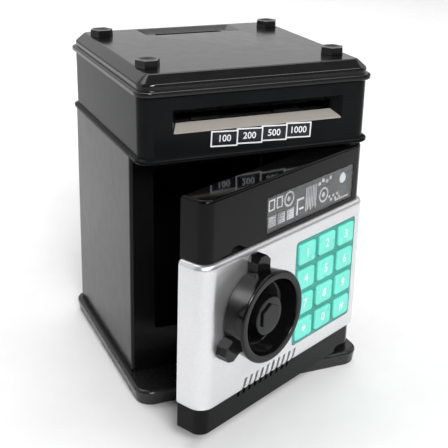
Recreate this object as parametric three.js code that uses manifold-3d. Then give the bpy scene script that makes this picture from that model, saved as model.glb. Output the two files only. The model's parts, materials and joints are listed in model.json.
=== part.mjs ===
// Toy cash machine that is a savings bank: a vault body on a plinth, a head with a note slot and a coin slot,
// and a front door with a knob, a keypad, a window and a speaker grille.
// Millimetres. +Z up, front towards -Y. Origin at the middle of the plinth's underside.
import * as THREE from 'three';
import { mergeVertices } from 'three/addons/utils/BufferGeometryUtils.js';
import Module from 'manifold-3d';

const wasm = await Module();
wasm.setup();

// ---- driving dimensions ----
const WIDTH = 130;              // head and door, side to side
const DEPTH = 128;              // head, front to back
const WALL = 2.5;               // case walls
const GAP = 0.3;                // between neighbouring pieces
const CUT = 5;                  // how far a cutting tool runs past a face
const CORNER = 8;               // plan corners of the head

const PLINTH_TOP = 9.2;
const PLINTH_OVERHANG = 4.6;
const PLINTH_FLOOR = 3;

const BODY_FRONT = -44.5;       // the frame behind the door
const BODY_FLARE = 1;           // the body is this much wider on each side at its foot
const VAULT_FLOOR = 22;
const OPENING_HALF = 52;        // vault doorway
const OPENING_SILL = 35;
const OPENING_TOP = 129;

const HEAD_BOTTOM = 137.6;
const HEAD_TOP = 172.2;
const LID_TOP = 183.1;
const LID_INSET = 5.6;          // lid top in from the head's sides
const BEAD = 1.8;               // ribs round the head stand out by this

const DOOR_OPEN = 26.3;         // degrees open as stored
const DOOR_THICK = 16.4;
const DOOR_BOTTOM = 10.2;
const DOOR_TOP = 136;
const DOOR_EDGE_TOP = 68.2;       // free edge from the middle: it overhangs the case as a finger grip,
const DOOR_EDGE_FOOT = 70.8;      // and flares towards the foot
const DOOR_CORNER = 6;
const DOOR_WALL = 3.4;          // door's front wall
const FASCIA_BOTTOM = 25.7;
const FASCIA_TOP = 104.4;
const FASCIA_PROUD = 2.4;
const FASCIA_SEAT = 1.2;        // the door is this much shallower under the fascia

const KNOB_X = -35.3;
const KNOB_Z = 70.5;
const KEY_PITCH_X = 18.2;
const KEY_PITCH_Z = 15;

// ---- places that follow from them ----
const HALF_W = WIDTH / 2;
const HALF_D = DEPTH / 2;
const DOOR_FRONT = -HALF_D;
const DOOR_BACK = DOOR_FRONT + DOOR_THICK;
const DOOR_NOSE = DOOR_THICK / 2;
const PIN_X = HALF_W - DOOR_NOSE;
const PIN_Y = DOOR_FRONT + DOOR_NOSE;
const FASCIA_FRONT = DOOR_FRONT - FASCIA_PROUD;
const DOOR_INSIDE = DOOR_FRONT + DOOR_WALL;
const ROOM_LEFT = 2.4 - DOOR_EDGE_TOP;

// ---- solids ----
function toSolid(geometry) {
  const bare = geometry.clone();
  bare.deleteAttribute('normal');
  bare.deleteAttribute('uv');
  const merged = mergeVertices(bare, 1e-4);
  const vertProperties = new Float32Array(merged.attributes.position.array);
  const triVerts = new Uint32Array(merged.index.array);
  return new wasm.Manifold(new wasm.Mesh({ numProp: 3, vertProperties, triVerts }));
}

function toGeometry(solid) {
  const mesh = solid.getMesh();
  const geometry = new THREE.BufferGeometry();
  geometry.setAttribute('position', new THREE.BufferAttribute(new Float32Array(mesh.vertProperties), 3));
  geometry.setIndex(new THREE.BufferAttribute(new Uint32Array(mesh.triVerts), 1));
  geometry.computeVertexNormals();
  return geometry;
}

function join(...pieces) {
  return toGeometry(pieces.map(toSolid).reduce((sum, piece) => sum.add(piece)));
}

function cut(blank, ...tools) {
  return toGeometry(tools.map(toSolid).reduce((rest, tool) => rest.subtract(tool), toSolid(blank)));
}

function box(x0, x1, y0, y1, z0, z1) {
  const geometry = new THREE.BoxGeometry(x1 - x0, y1 - y0, z1 - z0);
  return geometry.translate((x0 + x1) / 2, (y0 + y1) / 2, (z0 + z1) / 2);
}

// A box from its middle in X and Z, for things on the door's face.
function pad(x, z, width, height, y0, y1) {
  return box(x - width / 2, x + width / 2, y0, y1, z - height / 2, z + height / 2);
}

function rodX(radius, x0, x1, y, z, sides = 16) {
  return new THREE.CylinderGeometry(radius, radius, x1 - x0, sides).rotateZ(Math.PI / 2).translate((x0 + x1) / 2, y, z);
}

function rodY(radius, y0, y1, x, z, sides = 20) {
  return new THREE.CylinderGeometry(radius, radius, y1 - y0, sides).translate(x, (y0 + y1) / 2, z);
}

function rodZ(radius, z0, z1, x, y, sides = 16) {
  return new THREE.CylinderGeometry(radius, radius, z1 - z0, sides).rotateX(Math.PI / 2).translate(x, y, (z0 + z1) / 2);
}

function roundedRect(x, y, halfX, halfY, radius) {
  const shape = new THREE.Shape();
  shape.absarc(x + halfX - radius, y + halfY - radius, radius, 0, Math.PI / 2);
  shape.absarc(x - halfX + radius, y + halfY - radius, radius, Math.PI / 2, Math.PI);
  shape.absarc(x - halfX + radius, y - halfY + radius, radius, Math.PI, Math.PI * 1.5);
  shape.absarc(x + halfX - radius, y - halfY + radius, radius, Math.PI * 1.5, Math.PI * 2);
  return shape;
}

function outline(shape, fineness) {
  const points = shape.getPoints(fineness);
  if (points[0].distanceTo(points[points.length - 1]) < 1e-6) points.pop();
  return points;
}

// A solid through a stack of outlines that have the same number of points: [[shape, z], ...], bottom first.
function loft(levels, fineness = 2) {
  const rings = levels.map(([shape]) => outline(shape, fineness));
  const count = rings[0].length;
  const vertices = levels.flatMap(([, z], i) => rings[i].flatMap((p) => [p.x, p.y, z]));
  const faces = [];
  for (let i = 0; i + 1 < levels.length; i += 1) {
    for (let j = 0; j < count; j += 1) {
      const a = i * count + j;
      const b = i * count + (j + 1) % count;
      faces.push(a, b, b + count, a, b + count, a + count);
    }
  }
  const cap = (ring, turned) => THREE.ShapeUtils.triangulateShape(ring, []).map((t) => (turned ? t.reverse() : t));
  const last = (levels.length - 1) * count;
  faces.push(...cap(rings[0], true).flat());
  faces.push(...cap(rings[levels.length - 1], false).flat().map((index) => index + last));
  const geometry = new THREE.BufferGeometry();
  geometry.setAttribute('position', new THREE.BufferAttribute(new Float32Array(vertices), 3));
  geometry.setIndex(faces);
  geometry.computeVertexNormals();
  return geometry;
}

function prismZ(shape, z0, z1, fineness = 2) {
  return loft([[shape, z0], [shape, z1]], fineness);
}

// A shape drawn in X and Z, with thickness from y0 to y1.
function prismY(shape, y0, y1, fineness = 2) {
  return loft([[shape, 0], [shape, y1 - y0]], fineness).rotateX(Math.PI / 2).translate(0, y1, 0);
}

// A turned solid about a line along Y through (x, z): profile of [radius, distance out towards the front].
function turnedY(profile, x, z, sides) {
  const points = profile.map(([radius, out]) => new THREE.Vector2(radius, out));
  return new THREE.LatheGeometry(points, sides).rotateX(Math.PI).translate(x, 0, z);
}

// The same about a line along X: profile of [radius, x].
function turnedX(profile, y, z, sides) {
  const points = profile.map(([radius, x]) => new THREE.Vector2(radius, x));
  return new THREE.LatheGeometry(points, sides).rotateZ(-Math.PI / 2).translate(0, y, z);
}

// ---- case ----
const headRect = (inset, radius = CORNER) => roundedRect(0, 0, HALF_W - inset, HALF_D - inset, radius);

const BAY_Y = 36;               // battery bay, middle
const BAY_HALF_X = 29.7;
const BAY_HALF_Y = 23.3;
const CELL_RADIUS = 7.1;
const CELL_LENGTH = 50.5;
const CELL_PITCH = 15.3;
const CELL_Z = 10.5;
const BAY_TOP = 17.8;
const COVER_SCREW_X = 28.2;
const COVER_SCREW_Y = BAY_Y + CELL_PITCH / 2;

function basePlinth() {
  const rect = (inset) => headRect(inset - PLINTH_OVERHANG, CORNER + 2);
  const EASED = 0.8;
  const slab = loft([[rect(EASED), 0], [rect(0), EASED], [rect(0), PLINTH_TOP - 1], [rect(1), PLINTH_TOP]]);
  const pocket = box(-61.5, 61.5, -41, 61.7, PLINTH_FLOOR, PLINTH_TOP + CUT);
  const bay = box(-BAY_HALF_X, BAY_HALF_X, BAY_Y - BAY_HALF_Y, BAY_Y + BAY_HALF_Y, -CUT, PLINTH_FLOOR + CUT);
  const pinHole = rodZ(HINGE_HOLE, PLINTH_FLOOR + GAP, PLINTH_TOP + CUT, PIN_X, PIN_Y);
  return cut(slab, pocket, bay, pinHole);
}

// The body is a sleeve with a floor, drafted so that its foot is a little wider than its top.
function bodyRect(inset, flare) {
  const back = HALF_D + flare - inset;
  const front = BODY_FRONT + inset;
  return roundedRect(0, (back + front) / 2, HALF_W + flare - inset, (back - front) / 2, 4);
}

function bodyShell() {
  const bottom = PLINTH_TOP + GAP;
  const top = HEAD_BOTTOM - GAP;
  const flareAt = (z) => BODY_FLARE * (top - z) / (top - bottom);
  const span = (inset, z0, z1) => loft([[bodyRect(inset, flareAt(z0)), z0], [bodyRect(inset, flareAt(z1)), z1]]);
  const vault = span(WALL, VAULT_FLOOR, top + CUT);
  const foot = span(WALL, bottom - CUT, VAULT_FLOOR - WALL);
  const doorway = box(-OPENING_HALF, OPENING_HALF, BODY_FRONT - CUT, BODY_FRONT + CUT, OPENING_SILL, OPENING_TOP);
  return cut(span(0, bottom, top), vault, foot, doorway);
}

const NOTE_SLOT_LOW = 157;
const NOTE_SLOT_HIGH = 161.6;
const NOTE_SLOT_HALF = 44.6;
const FUNNEL_LOW = 153.7;
const FUNNEL_HIGH = 165.4;
const FUNNEL_HALF = 48.4;
const FUNNEL_DEPTH = 6.5;
const COIN_Y = 45;
const COIN_X = 1.8;             // slot and recess, middle
const COIN_HALF = 21.3;
const COIN_WIDTH = 4.6;
const CHUTE_HALF = 24.5;
const CHUTE_WIDTH = 6.6;

// The funnel round the note slot, drawn in X and Z and narrowing from the front face inwards.
function noteFunnel(lowered) {
  const rect = (half, low, high) => roundedRect(0, (low + high) / 2, half, (high - low) / 2, 0.4);
  const slopes = loft([
    [rect(NOTE_SLOT_HALF, NOTE_SLOT_LOW - lowered, NOTE_SLOT_HIGH), 0],
    [rect(FUNNEL_HALF, FUNNEL_LOW - lowered, FUNNEL_HIGH), FUNNEL_DEPTH],
  ]);
  return slopes.rotateX(Math.PI / 2).translate(0, DOOR_FRONT + FUNNEL_DEPTH, 0);
}

const RAMP_THICK = 0.8;

function headShell() {
  const low = HEAD_BOTTOM;
  const ribs = loft([
    [headRect(0), low], [headRect(-BEAD * 0.75), low + 0.6], [headRect(-BEAD), low + 1.7],
    [headRect(-BEAD * 0.75), low + 2.8], [headRect(0), low + 3.6], [headRect(0), HEAD_TOP],
  ]);
  const room = prismZ(headRect(WALL, CORNER - WALL), low + WALL, HEAD_TOP + CUT);
  const funnelBlock = box(-52, 52, DOOR_FRONT + 1, DOOR_FRONT + FUNNEL_DEPTH + 1.5, FUNNEL_LOW - 2.4, FUNNEL_HIGH + 2);
  const slot = box(-NOTE_SLOT_HALF, NOTE_SLOT_HALF, -HALF_D - CUT, -HALF_D + 2 * CUT, NOTE_SLOT_LOW, NOTE_SLOT_HIGH);
  const noteDrop = box(-45, 45, -16, 36, low - CUT, low + CUT);
  const coinDrop = box(-CHUTE_HALF, CHUTE_HALF, COIN_Y - CHUTE_WIDTH / 2, COIN_Y + CHUTE_WIDTH / 2, low - CUT, low + CUT);
  const pinHole = rodZ(HINGE_HOLE, low - CUT, low + CUT, PIN_X, PIN_Y);
  return cut(join(cut(ribs, room), funnelBlock), noteFunnel(RAMP_THICK + 0.1), slot, noteDrop, coinDrop, pinHole);
}

// The pale ramp on the funnel's lower slope.
function noteRamp() {
  const ramp = new THREE.Shape();
  ramp.moveTo(-FUNNEL_HALF + 0.6, 0);
  ramp.lineTo(FUNNEL_HALF - 0.6, 0);
  ramp.lineTo(NOTE_SLOT_HALF - 0.2, FUNNEL_DEPTH - 0.1);
  ramp.lineTo(-NOTE_SLOT_HALF + 0.2, FUNNEL_DEPTH - 0.1);
  const rise = NOTE_SLOT_LOW - FUNNEL_LOW;
  const sheet = prismZ(ramp, -RAMP_THICK, -0.02);
  const skew = new THREE.Matrix4().set(1, 0, 0, 0, 0, 1, 0, 0, 0, rise / FUNNEL_DEPTH, 1, 0, 0, 0, 0, 1);
  return sheet.applyMatrix4(skew).translate(0, DOOR_FRONT + 0.05, FUNNEL_LOW);
}

// Rings of the lid's outside, each [height, inset from the head's sides].
function lidRings(thinner, top) {
  const shoulder = 4.9;
  const rings = [
    [HEAD_TOP + GAP, 0.2 - BEAD * 0.4], [HEAD_TOP + 0.9, -BEAD * 0.85], [HEAD_TOP + 1.8, -BEAD],
    [HEAD_TOP + 2.7, -BEAD * 0.85], [HEAD_TOP + 3.3, -0.2], [HEAD_TOP + 3.8, 0], [LID_TOP - 5.3, 0],
    [LID_TOP - 4.4, 0.5], [LID_TOP - 3.6, 1.3], [LID_TOP - 0.4, shoulder + 0.1], [LID_TOP, LID_INSET],
  ];
  return thinner ? [[HEAD_TOP - CUT, WALL], [LID_TOP - 5.3, WALL], [top, WALL + 3.4]] : rings;
}

function topCover() {
  const LID_THICK = 3;
  const RECESS_DEPTH = 1.7;
  const rounded = ([z, inset]) => [headRect(inset, Math.max(3, CORNER - Math.max(inset, 0))), z];
  const outside = loft(lidRings(false).map(rounded));
  const inside = loft(lidRings(true, LID_TOP - LID_THICK).map(rounded));
  const recessRect = (grow) => roundedRect(COIN_X, COIN_Y + 0.5, 26.3 + grow, 6.5 + grow, 1);
  const recess = loft([[recessRect(0), LID_TOP - RECESS_DEPTH], [recessRect(4), LID_TOP + 0.1]]);
  const coin = prismZ(roundedRect(COIN_X, COIN_Y, COIN_HALF, COIN_WIDTH / 2, 2), LID_TOP - 2 * CUT, LID_TOP + CUT);
  const studs = hexPlaces.map(([x, y]) => rodZ(STUD_RADIUS + GAP, LID_TOP - 2 * CUT, LID_TOP + CUT, x, y, 12));
  return cut(outside, inside, recess, coin, ...studs);
}

const HEX_RADIUS = 6.8;         // middle to corner
const HEX_HEIGHT = 4;
const STUD_RADIUS = 2;
const hexPlaces = [[-54, -42.5], [52, -42.5], [53, 43], [-53, 43]];

// A hexagonal head with a shallow dish in its top, on a short stud.
function hexCap() {
  const BASE = 0.1;
  const DISH = 0.9;
  const head = rodZ(HEX_RADIUS, BASE, HEX_HEIGHT, 0, 0, 6).rotateZ(Math.PI / 6);
  const hollow = new THREE.LatheGeometry([
    new THREE.Vector2(0, HEX_HEIGHT - DISH), new THREE.Vector2(3.5, HEX_HEIGHT - DISH * 0.8),
    new THREE.Vector2(HEX_RADIUS, HEX_HEIGHT + 0.1), new THREE.Vector2(0, HEX_HEIGHT + 0.1),
  ], 12).rotateX(Math.PI / 2);
  return join(cut(head, hollow), rodZ(STUD_RADIUS, -7, BASE + 1, 0, 0, 12));
}

function coinChute() {
  const z0 = HEAD_BOTTOM + WALL + GAP;
  const z1 = LID_TOP - 3 - GAP;
  const tube = (grow, low, high) => box(-CHUTE_HALF - grow, CHUTE_HALF + grow,
    COIN_Y - CHUTE_WIDTH / 2 - grow, COIN_Y + CHUTE_WIDTH / 2 + grow, low, high);
  return cut(tube(2, z0, z1), tube(0, z0 - CUT, z1 + CUT));
}

// Four overlapping value boxes, stepping up a little from left to right.
function noteLabel() {
  const STEP = 14.15;
  const boxes = [0, 1, 2, 3].map((i) => {
    const x = -20.2 + i * STEP;
    const z = 148.2 + i * 0.15;
    return pad(x, z, 15.2, 8.7, DOOR_FRONT - 0.35, DOOR_FRONT - 0.06);
  });
  return join(...boxes);
}

// ---- note feed ----
const GEAR_MODULE = 0.7;
const GEAR_TEETH = 26;
const PINION_TEETH = 10;
const FEED_Y = -42.5;
const FEED_Z = 153.2;
const MOTOR_Y = -31;
const MOTOR_Z = 148.06;
const IDLER_Z = 162.8;
const BRACKET_X = 46;
const GEAR_X0 = 49.5;
const GEAR_X1 = 53.5;
const AXLE = 2;
const ROLLER = 4.5;
const SHAFT = 1;

function gearShape(teeth, firstTooth) {
  const pitch = GEAR_MODULE * teeth / 2;
  const step = Math.PI * 2 / teeth;
  const shape = new THREE.Shape();
  const corners = [[-0.27, -1.1], [-0.14, 0.85], [0.14, 0.85], [0.27, -1.1]];
  for (let i = 0; i < teeth; i += 1) {
    corners.forEach(([side, height], k) => {
      const angle = firstTooth + (i + side) * step;
      const radius = pitch + height * GEAR_MODULE;
      const point = [radius * Math.cos(angle), radius * Math.sin(angle)];
      if (i === 0 && k === 0) shape.moveTo(...point);
      else shape.lineTo(...point);
    });
  }
  return shape;
}

// The direction from the feed axle to the motor shaft, in the plane of Y and Z.
const MESH_ANGLE = Math.atan2(MOTOR_Z - FEED_Z, MOTOR_Y - FEED_Y);

// A shape drawn in Y and Z, with thickness from x0 to x1.
function prismX(shape, x0, x1) {
  const toYZ = new THREE.Matrix4().set(0, 0, 1, x0, 1, 0, 0, 0, 0, 1, 0, 0, 0, 0, 0, 1);
  return prismZ(shape, 0, x1 - x0).applyMatrix4(toYZ);
}

function feedGear() {
  const halfStep = Math.PI / GEAR_TEETH;
  const gear = prismX(gearShape(GEAR_TEETH, MESH_ANGLE + halfStep), GEAR_X0, GEAR_X1).translate(0, FEED_Y, FEED_Z);
  return cut(gear, rodX(AXLE + GAP, GEAR_X0 - CUT, GEAR_X1 + CUT, FEED_Y, FEED_Z));
}

function motorPinion() {
  const pinion = prismX(gearShape(PINION_TEETH, MESH_ANGLE + Math.PI), GEAR_X0, GEAR_X1).translate(0, MOTOR_Y, MOTOR_Z);
  return join(pinion, rodX(SHAFT, 43.8, GEAR_X0 + 1, MOTOR_Y, MOTOR_Z, 12));
}

function roller(radius, end, z) {
  const profile = [
    [0, -50], [AXLE, -50], [AXLE, -32], [radius, -32], [radius, -16], [AXLE, -16],
    [AXLE, 16], [radius, 16], [radius, 32], [AXLE, 32], [AXLE, end], [0, end],
  ];
  return turnedX(profile, FEED_Y, z, 16);
}

function feedBracket(side) {
  const x0 = side > 0 ? BRACKET_X : -BRACKET_X - 2;
  const z0 = HEAD_BOTTOM + WALL + GAP;
  const plate = box(x0, x0 + 2, FEED_Y - 6.5, MOTOR_Y + 8, z0, IDLER_Z + 5);
  const hole = (radius, y, z) => rodX(radius, x0 - CUT, x0 + CUT, y, z);
  const corner = box(x0 - 1, x0 + 3, FEED_Y + 7, MOTOR_Y + 9, MOTOR_Z + 6, IDLER_Z + 6);
  return cut(plate, corner, hole(AXLE + GAP, FEED_Y, FEED_Z), hole(AXLE + GAP, FEED_Y, IDLER_Z),
    hole(SHAFT + 0.6, MOTOR_Y, MOTOR_Z));
}

// A small can motor: a round case with its top and bottom flattened.
function feedMotor() {
  const CAN = 7.8;
  const FLAT = 6;
  const can = rodX(CAN, 18, 43.5, MOTOR_Y, MOTOR_Z, 24);
  const above = box(10, 50, MOTOR_Y - CUT - CAN, MOTOR_Y + CAN + CUT, MOTOR_Z + FLAT, MOTOR_Z + 2 * CAN);
  const below = box(10, 50, MOTOR_Y - CUT - CAN, MOTOR_Y + CAN + CUT, MOTOR_Z - 2 * CAN, MOTOR_Z - FLAT);
  return cut(can, above, below);
}

// ---- batteries ----
function batteryTray() {
  const z0 = PLINTH_FLOOR + GAP;
  const walls = box(-BAY_HALF_X - 2, BAY_HALF_X + 2, BAY_Y - BAY_HALF_Y - 1.7, BAY_Y + BAY_HALF_Y + 1.7, z0, 19.2);
  const bay = box(-BAY_HALF_X, BAY_HALF_X, BAY_Y - BAY_HALF_Y, BAY_Y + BAY_HALF_Y, z0 - CUT, BAY_TOP);
  const boss = rodZ(2.5, z0 + 0.7, BAY_TOP + 0.5, COVER_SCREW_X, COVER_SCREW_Y, 12);
  const thread = rodZ(1.35, z0 - 1, 12, COVER_SCREW_X, COVER_SCREW_Y, 12);
  return cut(join(cut(walls, bay), boss), thread);
}

function batteryCell(y) {
  const end = CELL_LENGTH / 2;
  const profile = [
    [0, -end], [CELL_RADIUS - 0.6, -end], [CELL_RADIUS, 0.6 - end], [CELL_RADIUS, end - 1.6],
    [CELL_RADIUS - 0.8, end - 1], [2.7, end - 1], [2.7, end], [0, end],
  ];
  return turnedX(profile, y, CELL_Z, 20);
}

function batterySprings() {
  const plate = box(-BAY_HALF_X + GAP, -BAY_HALF_X + 0.8, BAY_Y - 21.5, BAY_Y + 21.5, CELL_Z - 5, CELL_Z + 5);
  const cone = (y) => turnedX([[0, -29.2], [4.2, -29.2], [2.6, -25.7], [0, -25.7]], y, CELL_Z, 12);
  return join(plate, ...[-1, 0, 1].map((i) => cone(BAY_Y + i * CELL_PITCH)));
}

function batteryCover() {
  const cover = box(-BAY_HALF_X + GAP, BAY_HALF_X - GAP, BAY_Y - BAY_HALF_Y + GAP, BAY_Y + BAY_HALF_Y - GAP, 0.4, 2.8);
  const seat = rodZ(2.6, -CUT, 1.6, COVER_SCREW_X - 0.6, COVER_SCREW_Y, 16);
  const hole = rodZ(1.35, -CUT, CUT, COVER_SCREW_X, COVER_SCREW_Y, 12);
  return cut(cover, seat, hole);
}

function batteryCoverScrew() {
  const head = rodZ(1.9, 0.5, 1.45, COVER_SCREW_X - 0.6, COVER_SCREW_Y, 16);
  return join(head, rodZ(1, 1.2, 11, COVER_SCREW_X, COVER_SCREW_Y, 12));
}

// ---- hinge ----
const HINGE_PIN = 2;
const HINGE_HOLE = HINGE_PIN + GAP;
const PIN_REACH = 7.5;          // how far each pin goes into the door

function hingePinTop() {
  const pin = rodZ(HINGE_PIN, DOOR_TOP - PIN_REACH, HEAD_BOTTOM + WALL + 1, PIN_X, PIN_Y);
  return join(pin, rodZ(HINGE_PIN + 1.5, HEAD_BOTTOM + WALL + GAP, HEAD_BOTTOM + WALL + 1.3, PIN_X, PIN_Y));
}

function hingePinBottom() {
  const pin = rodZ(HINGE_PIN, PLINTH_FLOOR + 0.6, DOOR_BOTTOM + PIN_REACH, PIN_X, PIN_Y);
  return join(pin, rodZ(HINGE_PIN + 1.6, PLINTH_TOP + 0.2, DOOR_BOTTOM - 0.3, PIN_X, PIN_Y));
}

const TONGUE_Y0 = BODY_FRONT + WALL + 1.8;
const TONGUE_Y1 = TONGUE_Y0 + 2.5;

function strikePlate() {
  const y0 = BODY_FRONT + WALL + GAP;
  return box(-OPENING_HALF - 5, -OPENING_HALF - 0.4, y0, y0 + 1, KNOB_Z - 12.5, KNOB_Z + 12.5);
}

// ---- door, drawn closed ----
// The door's plan at a height: square at the back, half-round about the hinge pins. It grows evenly by g.
function doorPlan(g, z) {
  const nose = DOOR_NOSE + g;
  const flare = (DOOR_EDGE_FOOT - DOOR_EDGE_TOP) * (DOOR_TOP - z) / (DOOR_TOP - DOOR_BOTTOM);
  const left = -DOOR_EDGE_TOP - flare - g;
  const corner = DOOR_CORNER + g;
  const front = PIN_Y - nose;
  const plan = new THREE.Shape();
  plan.moveTo(PIN_X, PIN_Y + nose);
  plan.lineTo(left, PIN_Y + nose);
  plan.lineTo(left, front + corner);
  plan.absarc(left + corner, front + corner, corner, Math.PI, Math.PI * 1.5);
  plan.lineTo(PIN_X, front);
  plan.absarc(PIN_X, PIN_Y, nose, -Math.PI / 2, Math.PI / 2);
  return plan;
}

const PLAN_FINENESS = 5;

function doorSlab(g, z0, z1) {
  return loft([[doorPlan(g, z0), z0], [doorPlan(g, z1), z1]], PLAN_FINENESS);
}

const KEYPAD_X = 27.8;
const KEYPAD_Z = 65;
const KEYPAD_WIDTH = 55;
const KEYPAD_HEIGHT = 61;
const WINDOW_X = 15.4;
const WINDOW_Z = 116.35;
const WINDOW_WIDTH = 76.6;
const WINDOW_HEIGHT = 20.1;
const SPINDLE = 3.8;
const SCREW_HEAD = 2.7;
const SCREW_SHANK = 1.2;
const screwPlaces = [[-56, 18], [41, 18], [-56, 129.4], [41, 129.4]];
const GRILLE_SLOTS = 10;
const GRILLE_PITCH = 4.65;
const GRILLE_X = -42.2;
const GRILLE_LOW = 21.4;
const GRILLE_HIGH = 32;

// Leaning slots that cross the edge between the door's foot and the fascia.
function grilleSlots() {
  const LEAN = 4;
  const SLOT = 2;
  return Array.from({ length: GRILLE_SLOTS }, (_, i) => {
    const x = GRILLE_X + i * GRILLE_PITCH;
    const slot = new THREE.Shape();
    slot.moveTo(x - SLOT / 2, GRILLE_LOW);
    slot.lineTo(x + SLOT / 2, GRILLE_LOW);
    slot.lineTo(x + SLOT / 2 + LEAN, GRILLE_HIGH);
    slot.lineTo(x - SLOT / 2 + LEAN, GRILLE_HIGH);
    return prismY(slot, DOOR_FRONT - CUT, DOOR_INSIDE + 1);
  });
}

// The band that the fascia wraps: front, free edge, and hinge edge as far as the pins.
function fasciaBand(inner, outer, z0, z1) {
  const band = cut(doorSlab(outer, z0, z1), doorSlab(inner, z0 - 1, z1 + 1));
  const behind = box(-DOOR_EDGE_FOOT - CUT, HALF_W + CUT, DOOR_BACK - 1, DOOR_BACK + CUT, z0 - 1, z1 + 1);
  const behindPins = box(PIN_X, HALF_W + CUT, PIN_Y + 1.5, DOOR_BACK + CUT, z0 - 1, z1 + 1);
  return cut(band, behind, behindPins);
}

function doorShell() {
  const blank = doorSlab(0, DOOR_BOTTOM, DOOR_TOP);
  const room = box(ROOM_LEFT, 47.5, DOOR_INSIDE, DOOR_BACK + CUT, DOOR_BOTTOM + WALL, DOOR_TOP - WALL);
  const core = join(
    box(47, PIN_X, DOOR_INSIDE, PIN_Y + 5.35, 24, 122),
    rodZ(5.35, 24, 122, PIN_X, PIN_Y, 20),
  );
  const seat = fasciaBand(-FASCIA_SEAT, 3, FASCIA_BOTTOM, FASCIA_TOP);
  const display = pad(WINDOW_X, WINDOW_Z, WINDOW_WIDTH, WINDOW_HEIGHT, DOOR_FRONT - CUT, DOOR_INSIDE + 2);
  const keyWindow = pad(KEYPAD_X, KEYPAD_Z, KEYPAD_WIDTH - 2.4, KEYPAD_HEIGHT - 2.4, DOOR_FRONT - CUT, DOOR_INSIDE + 2.2);
  const spindle = rodY(SPINDLE + 0.5, DOOR_FRONT - CUT, DOOR_INSIDE + 1, KNOB_X, KNOB_Z);
  const pins = [
    rodZ(HINGE_PIN + 0.4, DOOR_BOTTOM - CUT, DOOR_BOTTOM + PIN_REACH + 0.8, PIN_X, PIN_Y),
    rodZ(HINGE_PIN + 0.4, DOOR_TOP - PIN_REACH - 0.8, DOOR_TOP + CUT, PIN_X, PIN_Y),
  ];
  const hollow = cut(blank, room, core, seat, display, keyWindow, spindle, ...pins, ...grilleSlots());
  const bosses = screwPlaces.map(([x, z]) => rodY(3, DOOR_INSIDE - 1, DOOR_BACK - 2.7, x, z, 12));
  const threads = screwPlaces.map(([x, z]) => rodY(SCREW_SHANK + 0.3, DOOR_INSIDE + 3, DOOR_BACK, x, z, 12));
  return cut(join(hollow, ...bosses), ...threads);
}

function silverFascia() {
  const z0 = FASCIA_BOTTOM + 0.25;
  const z1 = FASCIA_TOP - 0.25;
  const EASED = 2.8;
  const top = z1 - EASED;
  const inner = -FASCIA_SEAT + GAP;
  const edge = (grow, z) => [doorPlan(grow, z), z];
  const blank = loft([
    edge(FASCIA_PROUD - 0.3, z0), edge(FASCIA_PROUD, z0 + 0.4), edge(FASCIA_PROUD, top),
    edge(FASCIA_PROUD * 0.86, top + EASED * 0.45), edge(FASCIA_PROUD * 0.5, top + EASED * 0.83), edge(0.1, z1),
  ], PLAN_FINENESS);
  const hole = doorSlab(inner, z0 - 1, z1 + 1);
  const behind = box(-DOOR_EDGE_FOOT - CUT, HALF_W + CUT, DOOR_BACK - 1.3, DOOR_BACK + CUT, z0 - 1, z1 + 1);
  const behindPins = box(PIN_X, HALF_W + CUT, PIN_Y + 1.2, DOOR_BACK + CUT, z0 - 1, z1 + 1);
  const keypad = prismY(roundedRect(KEYPAD_X, KEYPAD_Z, KEYPAD_WIDTH / 2, KEYPAD_HEIGHT / 2, 2),
    DOOR_FRONT - CUT, DOOR_FRONT + CUT);
  const spindle = rodY(SPINDLE + 0.5, DOOR_FRONT - CUT, DOOR_FRONT + CUT, KNOB_X, KNOB_Z);
  return cut(blank, hole, behind, behindPins, keypad, spindle, ...grilleSlots());
}

const LENS_FRONT = DOOR_FRONT + 0.1;
const LENS_BACK = LENS_FRONT + 1.2;

function windowLens() {
  return pad(WINDOW_X, WINDOW_Z, WINDOW_WIDTH - 2 * GAP, WINDOW_HEIGHT - 2 * GAP, LENS_FRONT, LENS_BACK);
}

const LAMP_X = 46.8;
const LAMP_Z = 119;
const LAMP_RADIUS = 3.2;

// A moulded panel of rings, blocks and ribs behind the lens.
function windowRelief() {
  const back = LENS_BACK + 2.4;
  const base = LENS_BACK + 1.2;
  const front = LENS_BACK + GAP;
  const plate = pad(WINDOW_X, WINDOW_Z, WINDOW_WIDTH - 3 * GAP, WINDOW_HEIGHT - 3 * GAP, base, back);
  const ring = (x, z) => cut(rodY(4.2, front, base + 0.2, x, z, 16), rodY(2.8, front - 1, base + 1, x, z, 16));
  const ribs = [0, 1, 2, 3].map((i) => pad(6 + i * 4, 118, 1.4, 12, front, base + 0.2));
  const blocks = [0, 1].map((i) => pad(-15 + i * 50, 111.5, 9, 5, front, base + 0.2));
  const lampHole = rodY(LAMP_RADIUS + GAP, front - 1, back + 1, LAMP_X, LAMP_Z, 16);
  return cut(join(plate, ring(-3.5, 120.5), ring(27.5, 114.5), ...ribs, ...blocks), lampHole);
}

function statusLamp() {
  const out = -LENS_BACK;
  const dome = [
    [0, out - 4], [LAMP_RADIUS, out - 4], [LAMP_RADIUS, out - 1.6], [LAMP_RADIUS * 0.8, out - 0.7],
    [LAMP_RADIUS * 0.4, out - 0.35], [0, out - GAP],
  ];
  return turnedY(dome, LAMP_X, LAMP_Z, 16);
}

const KEY_WIDTH = 14.8;
const KEY_HEIGHT = 11.8;
const KEY_FRONT = FASCIA_FRONT - 0.9;
const KEY_BACK = FASCIA_FRONT + 2.3;
const PLATE_FRONT = FASCIA_FRONT + 0.2;
const PLATE_BACK = DOOR_FRONT + FASCIA_SEAT - GAP;

// Key centres, numbered as on a telephone: three columns, four rows from the top.
const keyPlaces = Array.from({ length: 12 }, (_, i) => [
  KEYPAD_X + (i % 3 - 1) * KEY_PITCH_X,
  KEYPAD_Z + (1.5 - Math.floor(i / 3)) * KEY_PITCH_Z,
]);

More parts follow.
